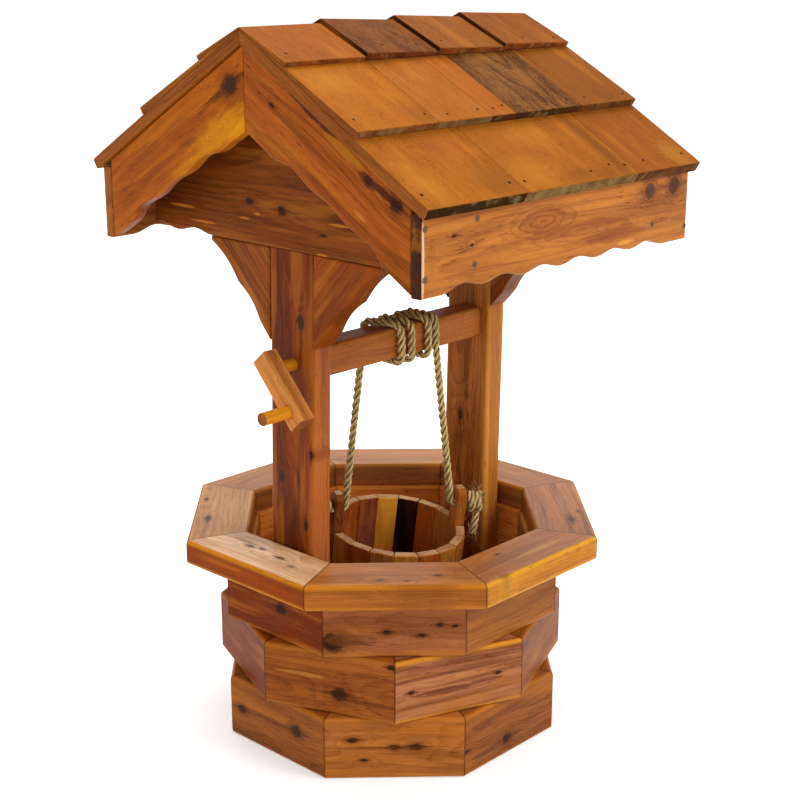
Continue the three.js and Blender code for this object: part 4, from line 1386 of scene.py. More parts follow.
@dataclass
class Bucket:
    """The staved bucket: 18 staves, two of them tall ears with a rope hole, and its bottom.

    The bucket's own frame has its origin at the middle of the rim and its axis up. It is turned
    about that axis, tilted about X and hung from the roller.
    """

    joinery: Joinery
    x_mm: float = 13.0
    rim_z_mm: float = 300.0
    tilt: float = math.radians(8)
    turn: float = math.radians(-28)
    radius_mm: float = 108.0
    thick_mm: float = 15.0
    height_mm: float = 203.0
    staves: int = 18
    ear_rise_mm: float = 60.0
    ear_corner_mm: float = 12.0
    hole_drop_mm: float = 28.0
    hole_radius_mm: float = 8.0
    ease_mm: float = 2.2
    joint_mm: float = 0.1

    def place(self) -> Matrix:
        """The bucket frame's place in the row frame, with mm turned into metres."""
        hung = Matrix.Translation((self.x_mm * MM, 0, self.rim_z_mm * MM))
        leant = Matrix.Rotation(self.tilt, 4, "X") @ Matrix.Rotation(self.turn, 4, "Z")
        return hung @ leant @ Matrix.Scale(MM, 4)

    def moved(self, points: np.ndarray) -> np.ndarray:
        """Points of the bucket's frame, in mm, put into the row frame, in metres."""
        matrix = np.array(self.place())
        return points @ matrix[:3, :3].T + matrix[:3, 3]

    def round_axis(self, angle: float, radius: float | np.ndarray, side: np.ndarray,
                   z: np.ndarray) -> np.ndarray:
        """Places points about the bucket's axis.

        Args:
            angle: The direction that they lie in, in the bucket's frame.
            radius: How far out along it, in mm.
            side: How far to its left, in mm.
            z: How high, in mm.

        Returns:
            The points in the row frame, in metres.
        """
        x = radius * math.cos(angle) - side * math.sin(angle)
        y = radius * math.sin(angle) + side * math.cos(angle)
        return self.moved(np.stack([x, y, z], axis=1))

    def stave(self, angle: float) -> tuple[np.ndarray, list]:
        """A stave: an eased bar whose width grows with its distance from the bucket's axis.

        The width at radius r is r divided by the middle radius times the middle width, which
        gives the sides their radial bevel.
        """
        middle = self.radius_mm - self.thick_mm / 2
        width = 2 * middle * math.tan(math.pi / self.staves) - self.joint_mm
        points, faces = eased_bar(width, self.thick_mm, self.height_mm, self.ease_mm)
        radius = middle - points[:, 1]
        side = points[:, 0] * radius / middle
        placed = self.round_axis(angle, radius, side, points[:, 2] - self.height_mm / 2)
        return placed, [face[::-1] for face in faces]

    def ear(self, angle: float) -> tuple[np.ndarray, list]:
        """A tall stave with a rope hole: a closed loop carried round the hole.

        At each angle about the hole, the loop runs from the hole's edge to the board's outline
        on the inner face, over the eased edge, back along the outer face and through the hole.
        The outline's reach at an angle is the distance to a rectangle with rounded top corners.
        """
        half = (self.radius_mm - self.thick_mm) * math.tan(math.pi / self.staves) - 0.5
        top = self.hole_drop_mm
        low = -(self.ear_rise_mm - self.hole_drop_mm + self.height_mm)
        corner_turns = np.linspace(0, math.pi / 2, 7)
        radius = self.ear_corner_mm
        right = np.stack([half - radius + radius * np.cos(corner_turns),
                          top - radius + radius * np.sin(corner_turns)], axis=1)
        left = np.stack([-(half - radius) - radius * np.sin(corner_turns),
                         top - radius + radius * np.cos(corner_turns)], axis=1)
        side_places = np.linspace(0, 1, 9)[1:-1, None]
        down = left[-1] * (1 - side_places) + np.array([[-half, low]]) * side_places
        foot = np.linspace(-half, half, 5)
        up = np.array([[half, low]]) * (1 - side_places) + right[0] * side_places
        outline = np.concatenate([
            right, left, down, np.stack([foot, np.full(5, low)], axis=1), up])
        angles = np.arctan2(outline[:, 1], outline[:, 0])
        hole = self.hole_radius_mm * np.stack([np.cos(angles), np.sin(angles)], axis=1)
        inward = outline * (1 - self.ease_mm / np.linalg.norm(outline, axis=1, keepdims=True))
        thick, ease = self.thick_mm, self.ease_mm
        loop = [(hole, 0.0), (inward, 0.0), (outline, ease), (outline, thick - ease),
                (inward, thick), (hole, thick)]
        rings = [self.round_axis(angle, self.radius_mm - thick + depth, shape[:, 0],
                                 shape[:, 1] + self.ear_rise_mm - self.hole_drop_mm)
                 for shape, depth in loop]
        faces = grid_faces(len(loop), len(outline), round_rows=True, flip=True)
        return np.concatenate(rings), faces

    def woods(self) -> list[CedarFinish]:
        """The staves' woods, from stave 1 at the turned X axis, anticlockwise from above."""
        red = CedarFinish(heart="#BF5E1F", dark="#78310D", ring_share=0.4, edge="#C8935A",
                          gloss=0.08)
        brown = toned(red, "#AF5634", "#692D1C", plum_share=0.6)
        # gold: a pale stave painted brighter still, a painted highlight for the light in the
        # bucket.
        gold = toned(red, "#FFB43A", "#F08A24", ring_share=0.35, patch_share=0.3,
                     plum_share=0.0, fleck_share=0.3, gloss=0.25)
        amber = toned(red, "#D8892E", "#9A5A1E", ring_share=0.5)
        # A near-black copy of the wood: painted shade on a stave inside the bucket.
        painted_shade_stave = toned(red, "#2C1610", "#120806", patch_share=1.0, glow_share=0.5, sap="#8A4A1E")
        rust = toned(red, "#B86A2C", "#8A4818")
        wall = toned(red, "#9C5424", "#6C3412")
        return [rust, rust, red, painted_shade_stave, gold, brown, red, brown, red, wall,
                amber, red, rust, amber, red, amber, rust, red]

    def build(self) -> None:
        """Makes every stave and the bottom."""
        woods = self.woods()
        # The staves' sawn ends take a pale wood: a painted highlight on the lit rim.
        ends = CedarFinish(heart="#D8A874", dark="#9A6238", edge_share=0.0, wild_knots=0.0)
        ear_places = (0, self.staves // 2)
        for i in range(self.staves):
            angle = 2 * math.pi * i / self.staves
            is_ear = i in ear_places
            points, faces = self.ear(angle) if is_ear else self.stave(angle)
            piece = mesh_object(f"bucket_stave_{i + 1}", points, faces)
            even_normals(piece)
            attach(piece, "bucket")
            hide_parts("bucket_staves")
            self.joinery.dress(piece, woods[i], Grain.STAVE, NO_EDGES_MM,
                               self.turn + angle, end_tone=ends)
        bottom = self.joinery.copy_of("bucket_bottom", "bucket_cedar", "bucket")
        self.joinery.dress(bottom, CedarFinish(heart="#7C4622", dark="#55290F"),
                           Grain.TURNED, NO_EDGES_MM)
        log.info("bucket: %d staves and a bottom", self.staves)


class RopePainter:
    """Manila: yarns lie at a slant round each strand, with a painted highlight on their backs and
    painted shade between them and between the strands.

    Each strand's V starts at a step of its own, at the strand's outermost line.
    """

    strand_mm = 2.785
    step_mm = 20.0
    yarn_slant = math.radians(24)
    yarn_share = 0.24
    streak_mm = (11, 1.8, 1.0)
    painted_shade_to_highlight_tones = (-0.2, 0.04)

    def __init__(self, finish: RopeFinish) -> None:
        """Keeps the finish and makes the rope's and the loose fibres' materials."""
        self.finish = finish
        self.rope = self.material("manila_rope", self.finish)
        self.fibre = self.material("manila_fibre", replace(finish, shade="#A8925A"))

    def material(self, name: str, finish: RopeFinish) -> Material:
        """Makes the rope's material from its UV map, whose U and V are mm along and round.

        Args:
            name: The material's name.
            finish: The rope's colours.

        Returns:
            The material.
        """
        material, tree = new_material(name)
        place = add_node(tree, "ShaderNodeUVMap", uv_map="UVMap").outputs[0]
        slant = add_node(tree, "ShaderNodeMapping", {
            "Vector": place, "Rotation": (0.0, 0.0, self.yarn_slant)}).outputs[0]
        wave = maths(tree, "MULTIPLY", parts_of(tree, slant)[1],
                     2 * math.pi / finish.yarn_width_mm)
        scaled = vectors(tree, "MULTIPLY", slant, tuple(1 / size for size in self.streak_mm))
        streak = add_node(tree, "ShaderNodeTexNoise", {
            "Vector": scaled, "Scale": 1.0, "Detail": 3.0}).outputs["Fac"]
        # Painted shade in the gaps between strands, and a painted highlight on their backs.
        girth = maths(tree, "MODULO", parts_of(tree, place)[1], self.step_mm)
        outward = maths(tree, "COSINE", maths(tree, "DIVIDE", girth, self.strand_mm))
        lit = maths(tree, "ADD", band(tree, outward, -0.3, 0.5, *self.painted_shade_to_highlight_tones), streak)
        # The yarn wave adds painted shade between yarns and a painted highlight on their backs.
        tone = maths(tree, "MULTIPLY_ADD", maths(tree, "SINE", wave), self.yarn_share, lit,
                     clamp=True)
        # The ramp runs from the painted shade colour through the yarn to the painted highlight
        # colour.
        ramp = add_node(tree, "ShaderNodeValToRGB", {"Fac": tone})
        for stop, (position, colour) in zip(ramp.color_ramp.elements, (
                (0.3, finish.shade), (0.72, finish.pale))):
            stop.position = position
            stop.color = linear(colour)
        ramp.color_ramp.elements.new(0.5).color = linear(finish.yarn)
        bump = add_node(tree, "ShaderNodeBump", {
            "Height": tone, "Strength": 0.8, "Distance": 0.5 * MM})
        shade(tree, {"Base Color": ramp.outputs[0], "Normal": bump.outputs[0],
                     "Roughness": finish.roughness})
        return material


@dataclass
class RopeWork:
    """The rope: its turns round the roller, two falls, and a knot outside each ear."""

    painter: RopePainter
    bucket: Bucket
    radius_mm: float = 6.0
    lay_mm: float = 38.0
    strands: int = 3
    roller_half_mm: float = 23.5
    roller_y_mm: float = -4.0
    roller_z_mm: float = 602.0
    roller_ease_mm: float = 6.0
    clear_mm: float = 0.7
    back_x_mm: float = -34.0
    passes_mm: tuple[float, ...] = (-11.4, 10.3, 47.8, 64.0)
    knot_radius_mm: float = 17.0
    lead_turn_mm: float = 5.9
    ear_turn_mm: float = 8.2
    ear_turn_inset_mm: float = 5.5
    split_z_mm: float = 380.0
    lift_mm: float = 200.0
    shift_mm: tuple[float, float] = (12.8, 9.0)
    strand_overlap: float = 1.04
    hair_radius_mm: float = 0.17
    hair_curl: float = 0.45
    hair_droop: float = 0.25
    knot_turns: tuple[float, float] = (-0.25, 2.05)
    knot_fat: float = 1.75
    knot_tall: float = 1.15
    knot_uneven: float = 0.12
    tail_mm: tuple[tuple[float, float, float], ...] = (
        (14, -4, 0), (17, -18, 0), (15, -34, 3), (13, -52, 2))
    level: tuple[float, float, float] = (1.0, 0.0, 0.0)
    seed: int = 5

    def __post_init__(self) -> None:
        """Works out the distance of the rope's centre from the roller's, and the chance source."""
        self.out_mm = self.roller_half_mm + self.radius_mm + self.clear_mm
        self.chance = np.random.default_rng(self.seed)

    def square_loop(self, share: np.ndarray) -> np.ndarray:
        """A point on the rounded square round the roller, from the middle of its front face,
        down and back under it. share is the part of a whole turn.

        Args:
            share: Parts of a turn, from 0 to 1.

        Returns:
            Y and Z from the roller's centre, n by 2, in mm.
        """
        corner = self.roller_ease_mm + self.radius_mm + self.clear_mm
        flat = 2 * (self.out_mm - corner)
        side = flat + corner * math.pi / 2
        walked = share * 4 * side + flat / 2
        face = np.floor(walked / side)
        rest = walked - face * side
        bend = np.maximum(rest - flat, 0) / corner
        along = -flat / 2 + np.minimum(rest, flat) + corner * np.sin(bend)
        out = self.out_mm - corner * (1 - np.cos(bend))
        turn = face * math.pi / 2
        return np.stack([-out * np.cos(turn) + along * np.sin(turn),
                         -along * np.cos(turn) - out * np.sin(turn)], axis=1)

    def winding_path(self, count: int = 420) -> np.ndarray:
        """The rope's centreline round the roller: x eases from each pass to the next."""
        turns = np.linspace(-0.5, len(self.passes_mm) - 1, count)
        last = np.clip(np.floor(turns), -1, len(self.passes_mm) - 2).astype(int)
        starts = np.maximum(last, -0.5)
        from_x = np.where(last < 0, self.back_x_mm, np.array(self.passes_mm)[last])
        to_x = np.array(self.passes_mm)[last + 1]
        share = (turns - starts) / (last + 1 - starts)
        x = from_x + (to_x - from_x) * share * share * (3 - 2 * share)
        loop = self.square_loop(turns - np.floor(turns))
        return np.stack([x, self.roller_y_mm + loop[:, 0], self.roller_z_mm + loop[:, 1]],
                        axis=1)

    def curve_through(self, points: np.ndarray, per_stretch: int = 12) -> np.ndarray:
        """A centripetal Catmull-Rom curve: each stretch blends its four nearest points, with
        knots spaced by the square root of the distance between points."""
        first = 2 * points[0] - points[1]
        last = 2 * points[-1] - points[-2]
        padded = np.concatenate([[first], points, [last]])
        steps = np.sqrt(np.linalg.norm(np.diff(padded, axis=0), axis=1))
        knots = np.concatenate([[0], np.cumsum(steps)])
        pieces = []
        for i in range(1, len(padded) - 2):
            p0, p1, p2, p3 = padded[i - 1:i + 3]
            t0, t1, t2, t3 = knots[i - 1:i + 3]
            t = np.linspace(t1, t2, per_stretch, endpoint=False)[:, None]
            a = (t1 - t) / (t1 - t0) * p0 + (t - t0) / (t1 - t0) * p1
            b = (t2 - t) / (t2 - t1) * p1 + (t - t1) / (t2 - t1) * p2
            c = (t3 - t) / (t3 - t2) * p2 + (t - t2) / (t3 - t2) * p3
            d = (t2 - t) / (t2 - t0) * a + (t - t0) / (t2 - t0) * b
            e = (t3 - t) / (t3 - t1) * b + (t - t1) / (t3 - t1) * c
            pieces.append((t2 - t) / (t2 - t1) * d + (t - t1) / (t2 - t1) * e)
        return np.concatenate([*pieces, points[-1:]])

    def walked(self, path: np.ndarray) -> np.ndarray:
        """How far along its path each point lies, in mm."""
        return np.concatenate([[0], np.cumsum(np.linalg.norm(np.diff(path, axis=0), axis=1))])

    def even_path(self, path: np.ndarray, step_mm: float = 1.6) -> np.ndarray:
        """The same path with its points an even step apart."""
        length = self.walked(path)
        places = np.linspace(0, length[-1], max(int(length[-1] / step_mm), 4))
        return np.stack([np.interp(places, length, path[:, k]) for k in range(3)], axis=1)

    def sides_of(self, path: np.ndarray, level: np.ndarray) -> tuple[np.ndarray, ...]:
        """The path's direction and two directions across it, the first nearest to level."""
        ahead = unit(np.gradient(path, axis=0))
        first = unit(level - (ahead @ level)[:, None] * ahead)
        return ahead, first, np.cross(ahead, first)

    def strand_mesh(self, name: str, path: np.ndarray, level: np.ndarray, phase: float,
                    around: int = 9) -> tuple[Object, float]:
        """Three strands twisted along a path.

        Three equal circles inside the rope's circle have a radius of R / (1 + 2 / sqrt 3). Each
        strand's centre turns about the path by a whole turn in one lay, and a circle round it
        makes its tube.

        Args:
            name: The piece's name.
            path: The rope's centreline, in mm.
            level: A direction that the path never runs along.
            phase: The twist at the path's start, in radians.
            around: Points round each strand.

        Returns:
            The piece and the twist at the path's end.
        """
        strand = self.radius_mm / (1 + 2 / math.sqrt(3))
        offset = self.radius_mm - strand
        length = self.walked(path)
        twist = phase + 2 * math.pi * length / self.lay_mm
        ahead, first, second = self.sides_of(path, level)
        round_angles = np.linspace(0, 2 * math.pi, around, endpoint=False)
        points, faces, places = [], [], []
        for i in range(self.strands):
            angle = twist + 2 * math.pi * i / self.strands
            outward = turned(angle, first, second)
            beside = np.cross(ahead, outward)
            centre = path + offset * outward
            tube = centre[:, None] + strand * self.strand_overlap * turned(
                round_angles[None], outward[:, None], beside[:, None])
            start = len(points) * tube.shape[0] * around
            points.append(tube.reshape(-1, 3))
            faces += closed_tube(len(path), around, start)
            along = np.broadcast_to(length[:, None], tube.shape[:2])
            girth = np.broadcast_to(round_angles * strand, tube.shape[:2])
            places.append(np.stack([along, girth + self.painter.step_mm * i],
                                   axis=-1).reshape(-1, 2))
        piece = mesh_object(name, np.concatenate(points) * MM, faces, 70)
        self.lay_uv(piece, np.concatenate(places), 2 * math.pi * strand)
        piece.data.materials.append(self.painter.rope)
        return piece, float(twist[-1])

    def lay_uv(self, piece: Object, places: np.ndarray, girth_mm: float) -> None:
        """Writes the UV map: mm along and mm round. A face across a tube's seam gets its girth
        added where the round runs back to 0.

        Args:
            piece: The rope's piece.
            places: U and V of each vertex.
            girth_mm: The way round a tube.
        """
        mesh = piece.data
        layer = mesh.uv_layers.new(name="UVMap")
        corners = np.zeros(len(mesh.loops), np.int32)
        mesh.loops.foreach_get("vertex_index", corners)
        values = places[corners].copy()
        totals = np.zeros(len(mesh.polygons), np.int32)
        mesh.polygons.foreach_get("loop_total", totals)
        face_of = np.repeat(np.arange(len(totals)), totals)
        highest = np.full(len(totals), -1e9)
        np.maximum.at(highest, face_of, values[:, 1])
        seam = (totals[face_of] == 4) & (highest[face_of] - values[:, 1] > girth_mm / 2)
        values[seam, 1] += girth_mm
        layer.data.foreach_set("uv", values.ravel().astype(np.float32))

    def fibres(self, name: str, path: np.ndarray, level: np.ndarray, count: int,
               length_mm: tuple[float, float], spread: float, body: str,
               forward: float = 0.6) -> Object:
        """Loose hairs on a rope: each is a thin tube that leaves the rope's side and curls.

        A hair's point at share t is its root plus length * (t * start direction + t * t * curl),
        and three points round it make its tube.

        Args:
            name: The piece's name.
            path: The centreline that the hairs grow from, in mm.
            level: A direction that the path never runs along.
            count: How many hairs.
            length_mm: The shortest and longest hair.
            spread: How far each leans out from the rope.
            body: The body that it rides on.
            forward: How much each leans along the rope.

        Returns:
            The piece.
        """
        ahead, first, second = self.sides_of(path, level)
        root = self.chance.integers(0, len(path), count)
        angle = self.chance.uniform(0, 2 * math.pi, count)
        outward = turned(angle, first[root], second[root])
        lengths = self.chance.uniform(*length_mm, count)[:, None]
        sense = self.chance.choice((-1.0, 1.0), count)[:, None]
        start = outward * spread + ahead[root] * sense * forward
        curl = self.chance.normal(0, self.hair_curl, (count, 3)) - (0, 0, self.hair_droop)
        stations, around = 7, 3
        t = np.linspace(0, 1, stations)[None, :, None]
        base = path[root] + outward * self.radius_mm * 0.8
        line = base[:, None] + lengths[:, None] * (t * start[:, None] + t * t * curl[:, None])
        thick = self.hair_radius_mm * (1 - 0.5 * t)
        side = np.cross(start, curl)
        side /= np.linalg.norm(side, axis=1, keepdims=True) + 1e-9
        other = np.cross(unit(start), side)
        turns = np.arange(0, 2 * around, 2) * math.pi / around
        ring = turned(turns[None, None], side[:, None, None], other[:, None, None])
        points = line[:, :, None] + thick[..., None] * ring
        starts = (np.arange(count) * stations * around)[:, None]
        quads = np.array(grid_faces(stations, around))
        faces = (quads[None] + starts[:, None]).reshape(-1, 4).tolist()
        end = np.arange(around)
        faces += (starts + end[::-1]).tolist() + (starts + (stations - 1) * around + end).tolist()
        piece = mesh_object(name, points.reshape(-1, 3) * MM, faces, 70)
        piece.data.uv_layers.new(name="UVMap")
        piece.data.materials.append(self.painter.fibre)
        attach(piece, body)
        return piece

    def ear_point(self, side: int, reach: float) -> np.ndarray:
        """A point in line with an ear's hole, in mm in the row frame."""
        height = self.bucket.ear_rise_mm - self.bucket.hole_drop_mm
        return self.bucket.moved(np.array([[side * reach, 0.0, height]]))[0] / MM

    def fall_path(self, side: int, top_x: float, top_y: float) -> np.ndarray:
        """A fall's centreline from the roller to the outside of its ear, in mm."""
        inner = self.bucket.radius_mm - self.bucket.thick_mm
        seat = math.sqrt((self.knot_radius_mm + 0.3) ** 2 - self.bucket.hole_radius_mm ** 2)
        top = np.array([top_x, top_y, self.roller_z_mm - 0.15])
        lead = np.array([top_x, top_y, self.roller_z_mm - 2 * self.radius_mm])
        return self.turning_path(
            [top, lead, self.ear_point(side, inner - self.ear_turn_inset_mm),
             self.ear_point(side, self.bucket.radius_mm + seat)],
            (self.lead_turn_mm, self.ear_turn_mm))

    def turning_path(self, points: list[np.ndarray], reaches: tuple[float, ...]) -> np.ndarray:
        """Straight lengths through the points. Each inner corner c is turned by the curve
        (1 - t)^2 a + 2 t (1 - t) c + t^2 b, where a and b lie on the two lengths at its reach."""
        share = np.linspace(0, 1, 24)[:, None]
        path = [points[0][None]]
        for before, corner, after, reach in zip(points, points[1:], points[2:], reaches):
            start, stop = (corner + (end - corner) * reach / np.linalg.norm(end - corner)
                           for end in (before, after))
            path.append((1 - share) ** 2 * start + 2 * share * (1 - share) * corner
                        + share ** 2 * stop)
        path.append(points[-1][None])
        return np.concatenate(path)

    def knot(self, name: str, side: int) -> None:
        """A stopper knot: the rope coils twice round its own line, tight and fat, and its tail
        hangs. The coil's point at angle a is the axis point plus the knot's radius times the
        cosine and sine of a across the axis, and it moves along the axis as a grows.

        Args:
            name: The start of the pieces' names.
            side: 1 for the front ear, -1 for the back one.
        """
        reach = self.bucket.radius_mm + self.radius_mm + 0.5
        start = self.ear_point(side, reach)
        axis = unit(self.ear_point(side, reach + 1) - start)
        up = np.array([0.0, 0.0, 1.0])
        up = unit(up - (up @ axis) * axis)
        beside = np.cross(axis, up)
        turn = np.linspace(*self.knot_turns, 120)[:, None] * 2 * math.pi
        wide = self.radius_mm * self.knot_fat * (1 + self.knot_uneven * np.sin(turn * 0.9 + 1))
        coil = (start + axis * (turn + 1.6) / (2 * math.pi) * self.radius_mm * self.knot_fat
                + wide * (np.cos(turn) * up * self.knot_tall + np.sin(turn) * beside))
        piece, _ = self.strand_mesh(f"{name}_knot", self.even_path(coil), axis, 0.4)
        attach(piece, "bucket")
        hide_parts(name)
        drop = np.array([start + axis * out + up * rise + beside * aside
                         for out, rise, aside in self.tail_mm])
        tail_path = self.even_path(self.curve_through(drop))
        tail, _ = self.strand_mesh(f"{name}_tail", tail_path, beside, 1.1)
        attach(tail, "bucket")
        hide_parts(name)
        self.fibres(f"{name}_knot_hairs", coil, axis, 150, (6, 22), 0.9, "bucket")
        self.fibres(f"{name}_frayed_end", tail_path[-6:], beside, 70, (8, 22), 0.35, "bucket",
                    1.0)

    def fall(self, name: str, side: int, top_x: float, top_y: float, phase: float) -> None:
        """A fall in two pieces, cut where it first drops below split_z_mm: the upper one gets a
        mesh of its own, and both ride on the bucket.

        Args:
            name: The node that it stands for.
            side: 1 for the front ear, -1 for the back one.
            top_x: Where it leaves the roller, in mm.
            top_y: The same, across.
            phase: The twist where it leaves the roller.
        """
        level = np.array(self.level)
        path = self.even_path(self.fall_path(side, top_x, top_y))
        cut = int(np.argmax(path[:, 2] < self.split_z_mm))
        upper, lower = path[:cut + 1], path[cut:]
        piece, twist = self.strand_mesh(f"{name}_upper", upper, level, phase)
        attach(piece, "bucket")
        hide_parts(name)
        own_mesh(piece)
        foot, _ = self.strand_mesh(f"{name}_lower", lower, level, twist)
        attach(foot, "bucket")
        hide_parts(name)
        self.fibres(f"{name}_hairs", lower, level, 60, (5, 18), 0.6, "bucket")
        self.knot(name, side)
        log.info("%s: %.0f mm from the roller to its knot", name, self.walked(path)[-1])

    def build(self) -> None:
        """Makes the winding, the falls and the knots."""
        path = self.even_path(self.winding_path())
        level = np.array(self.level)
        start_phase = 0.3
        winding, end_phase = self.strand_mesh("rope_turns", path, level, start_phase)
        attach(winding, "roller")
        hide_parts("rope_winding")
        self.fibres("rope_turns_hairs", path, level, 170, (4, 14), 0.7, "roller")
        back_y = self.roller_y_mm + self.out_mm
        front_y = self.roller_y_mm - self.out_mm
        self.fall("back_rope_fall", -1, self.back_x_mm, back_y, -start_phase)
        self.fall("front_rope_fall", 1, self.passes_mm[-1], front_y, end_phase)
        log.info("rope turns: %.0f mm", self.walked(path)[-1])


@dataclass
class Fasteners:
    """Screws in the fascias and nails in the shingles."""

    roof: ShingledRoof
    fascia_y_mm: float = 319.5
    screw_radius_mm: float = 4.4
    nail_radius_mm: float = 2.3
    nail_proud_mm: float = 0.35
    head_rings: tuple[float, ...] = (1.0, 1.0, 0.85, 0.6, 0.35, 0.12)
    dome: float = 0.14
    rim: float = 0.05
    sunk: float = 0.5
    cut_width: float = 0.35
    cut_depth: float = 0.45
    cut_reach: float = 0.7
    nails_mm: dict[str, tuple[tuple[float, float], ...]] = field(default_factory=lambda: {
        "ridge_shingles": ((-264, 24), (-264, 64), (-89, 64), (-20, 66), (30, 65), (209, 68),
                           (283, 70)),
        "middle_shingles": ((-268, 210), (-142, 215), (-103, 220), (-39, 217), (-9, 219),
                            (14, 215), (46, 220), (155, 218), (196, 218), (288, 220)),
        "roof_boards": ((-270, 352), (-108, 356), (-80, 358), (60, 360), (109, 353),
                        (139, 359), (187, 356), (284, 355)),
    })
    front_screws_mm: tuple[tuple[float, float], ...] = (
        (-272, 843), (-272, 780), (-175, 844), (-179, 786), (210, 788), (293, 775))

    def material(self, name: str, finish: SteelFinish) -> Material:
        """Dull plated steel with dirt: noise half a millimetre across mixes the two."""
        material, tree = new_material(name)
        place = add_node(tree, "ShaderNodeTexCoord").outputs["Object"]
        dirt = add_node(tree, "ShaderNodeTexNoise", {
            "Vector": place, "Scale": 2.0 / MM, "Detail": 2.0}).outputs["Fac"]
        shade(tree, {
            "Base Color": laid(tree, dirt, linear(finish.bright), linear(finish.dirt)),
            "Metallic": finish.metallic, "Roughness": finish.roughness,
            "Specular IOR Level": finish.gloss})
        return material

    def head(self, radius: float, crossed: bool) -> tuple[np.ndarray, list]:
        """A fastener's head, a height over rings and angles: a low dome that falls to a sharp
        rim, with a cross cut into a screw's.

        Args:
            radius: The head's radius, in mm.
            crossed: It has a cross recess.

        Returns:
            Points in mm, with the head's axis along +Z, and the faces.
        """
        angles = np.linspace(0, 2 * math.pi, 16, endpoint=False)
        ring, angle = np.meshgrid(np.array(self.head_rings), angles, indexing="ij")
        height = self.dome * radius * (1 - ring ** 2) + self.rim * radius
        height[0] = -self.sunk * radius
        if crossed:
            cross = np.exp(-(np.sin(2 * angle) / self.cut_width) ** 2)
            height -= self.cut_depth * radius * cross * (ring < self.cut_reach)
        points = np.stack([radius * ring * np.cos(angle), radius * ring * np.sin(angle),
                           height], axis=-1).reshape(-1, 3)
        return points, closed_tube(*ring.shape)

    def scatter(self, name: str, heads: list[np.ndarray], shape: tuple[np.ndarray, list],
                material: Material) -> None:
        """Joins one head per place into a piece on the well.

        Args:
            name: The piece's name.
            heads: A 4 by 4 place for each head, from mm.
            shape: The head's points and faces.
            material: Its metal.
        """
        points, faces = shape
        moved = np.concatenate([points @ m[:3, :3].T + m[:3, 3] for m in heads])
        joined = [[v + i * len(points) for v in face]
                  for i in range(len(heads)) for face in faces]
        piece = mesh_object(name, moved * MM, joined, 40)
        piece.data.materials.append(material)
        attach(piece, "well")

    def head_place(self, spot: tuple[float, float, float], lean: float) -> np.ndarray:
        """A 4 by 4 place at a spot, its axis leant from +Z about X."""
        return np.array(Matrix.Translation(Vector(spot)) @ Matrix.Rotation(lean, 4, "X"))

    def screw_places(self) -> list[np.ndarray]:
        """Each screw's place: its axis is the fascia's outward normal, and the back one's
        screws mirror the front one's."""
        return [self.head_place((x, side * self.fascia_y_mm, z), math.radians(-90 * side))
                for side in (-1, 1) for x, z in self.front_screws_mm]

    def nail_places(self) -> list[np.ndarray]:
        """Each nail's place on its row, the back slope's mirroring the front one's."""
        places = []
        for side in (-1, 1):
            for row, spots in self.nails_mm.items():
                for x, s in spots:
                    down = np.array([s])
                    out = float((self.roof.under(row, down) + self.roof.thick(row, down))[0])
                    out += self.lift_at(row, x) + self.nail_proud_mm
                    y, z = self.roof.on_slope(s, out)
                    places.append(self.head_place((x, side * y, z), -self.roof.pitch * side))
        return places

    def lift_at(self, row: str, x: float) -> float:
        """How far a lapped ridge shingle's top is raised at x, in mm."""
        if row != "ridge_shingles":
            return 0.0
        shingle = next(tile for tile in self.roof.rows()[row] if x < tile.far_mm)
        if shingle.near_mm == self.roof.near_mm:
            return 0.0
        return self.roof.lift_mm * (shingle.far_mm - x) / (shingle.far_mm - shingle.near_mm)

    def build(self) -> None:
        """Makes the screws and the nails."""
        steel = self.material("dull_steel", SteelFinish())
        rust = self.material("rusted_steel", SteelFinish(bright="#4E2C14", dirt="#1A0E06",
                                                         metallic=0.0, roughness=0.8,
                                                         gloss=0.05))
        self.scatter("fascia_screws", self.screw_places(),
                     self.head(self.screw_radius_mm, True), steel)
        self.scatter("shingle_nails", self.nail_places(),
                     self.head(self.nail_radius_mm, False), rust)
        log.info("fasteners: fascia screws and shingle nails")


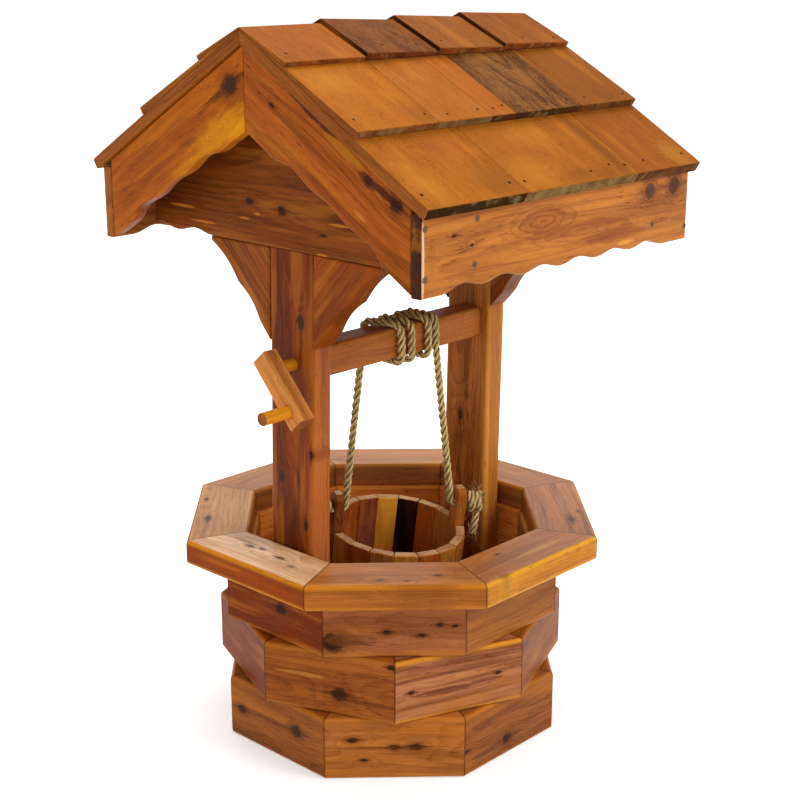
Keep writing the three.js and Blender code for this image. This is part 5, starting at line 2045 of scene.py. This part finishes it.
@dataclass
class Studio:
    """The camera of the photograph, a pale floor and soft light."""

    azimuth: float = math.radians(-46.58)
    elevation: float = math.radians(16.35)
    distance: float = 2.390
    target: tuple[float, float, float] = (0.02134, 0.0, 0.50095)
    lens_mm: float = 69.95
    room_light: float = 0.55
    floor_reach: float = 6.0

    def camera(self) -> None:
        """Aims the camera at the target from the photograph's side."""
        data = bpy.data.cameras.new("photo_camera")
        data.lens = self.lens_mm
        data.sensor_width = 36.0
        data.clip_start = 0.05
        camera = scene_object("photo_camera", data)
        back = Vector((math.sin(self.azimuth) * math.cos(self.elevation),
                       -math.cos(self.azimuth) * math.cos(self.elevation),
                       math.sin(self.elevation)))
        camera.location = Vector(self.target) + back * self.distance
        camera.rotation_euler = (-back).to_track_quat("-Z", "Y").to_euler()
        bpy.context.scene.camera = camera

    def world(self) -> None:
        """White to the camera and in gloss, and a level grey light on everything else."""
        world = bpy.data.worlds.new("studio")
        bpy.context.scene.world = world
        world.use_nodes = True
        tree = world.node_tree
        tree.nodes.clear()
        rays = add_node(tree, "ShaderNodeLightPath").outputs
        seen = maths(tree, "MAXIMUM", rays["Is Camera Ray"], rays["Is Transmission Ray"])
        white = maths(tree, "MAXIMUM", seen, rays["Is Glossy Ray"])
        strength = maths(tree, "MULTIPLY_ADD", white, 1.0 - self.room_light, self.room_light)
        light = add_node(tree, "ShaderNodeBackground", {
            "Color": (1.0, 1.0, 1.0, 1.0), "Strength": strength})
        add_node(tree, "ShaderNodeOutputWorld", {"Surface": light.outputs[0]})

    def floor(self) -> None:
        """A white floor that keeps the well's soft shadow."""
        mesh = bpy.data.meshes.new("floor")
        signs = ((-1, -1), (1, -1), (1, 1), (-1, 1))
        mesh.from_pydata([(x * self.floor_reach, y * self.floor_reach, 0) for x, y in signs],
                         [], [(0, 1, 2, 3)])
        ground = scene_object("floor", mesh)
        ground.location.z = -0.5 * MM
        material, tree = new_material("floor")
        rays = add_node(tree, "ShaderNodeLightPath").outputs
        seen = maths(tree, "MAXIMUM", rays["Is Camera Ray"], rays["Is Glossy Ray"])
        place = add_node(tree, "ShaderNodeTexCoord").outputs["Object"]
        away = band(tree, vectors(tree, "LENGTH", place), 0.3, 1.4, 0.42, 1.0)
        shade(tree, {
            "Base Color": (0.8, 0.8, 0.8, 1.0), "Roughness": 0.9,
            "Emission Color": (1.0, 1.0, 1.0, 1.0),
            "Emission Strength": maths(tree, "MULTIPLY", seen, away)})
        mesh.materials.append(material)

    def lamp(self, name: str, spot: tuple[float, float, float], size: float, watts: float,
             colour: str = "#FFFFFF") -> None:
        """A square soft lamp aimed at the well.

        Args:
            name: The lamp's name.
            spot: Where it hangs, in metres.
            size: Its side, in metres.
            watts: Its power.
            colour: Its light.
        """
        data = bpy.data.lights.new(name, "AREA")
        data.shape = "SQUARE"
        data.size = size
        data.energy = watts
        data.color = linear(colour)[:3]
        lamp = scene_object(name, data)
        lamp.location = spot
        aim = Vector(self.target) - Vector(spot)
        lamp.rotation_euler = aim.to_track_quat("-Z", "Y").to_euler()

    def build(self) -> None:
        """Sets the camera, the world, the floor and the lamps."""
        self.camera()
        self.world()
        self.floor()
        self.lamp("key", (0.9, -2.6, 2.3), 1.6, 58)
        self.lamp("fill", (-2.8, -0.6, 1.3), 1.8, 16)
        self.lamp("top", (0.3, 0.6, 3.0), 2.0, 62)
        bpy.context.scene.view_settings.view_transform = "Standard"


def main() -> None:
    """Builds the studio, the rope, the boards and the fasteners."""
    logging.basicConfig(level=logging.INFO, format="%(name)s: %(message)s")
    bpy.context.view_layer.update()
    Studio().build()
    painter = CedarPainter()
    joinery = Joinery(painter)
    bucket = Bucket(joinery)
    RopeWork(RopePainter(RopeFinish()), bucket).build()
    bucket.build()
    WellRings(joinery).build()
    RoofTrim(joinery).build()
    roof = ShingledRoof(joinery)
    roof.build()
    RollerAndCrank(joinery).build()
    Fasteners(roof).build()


if __name__ == "__main__":
    main()
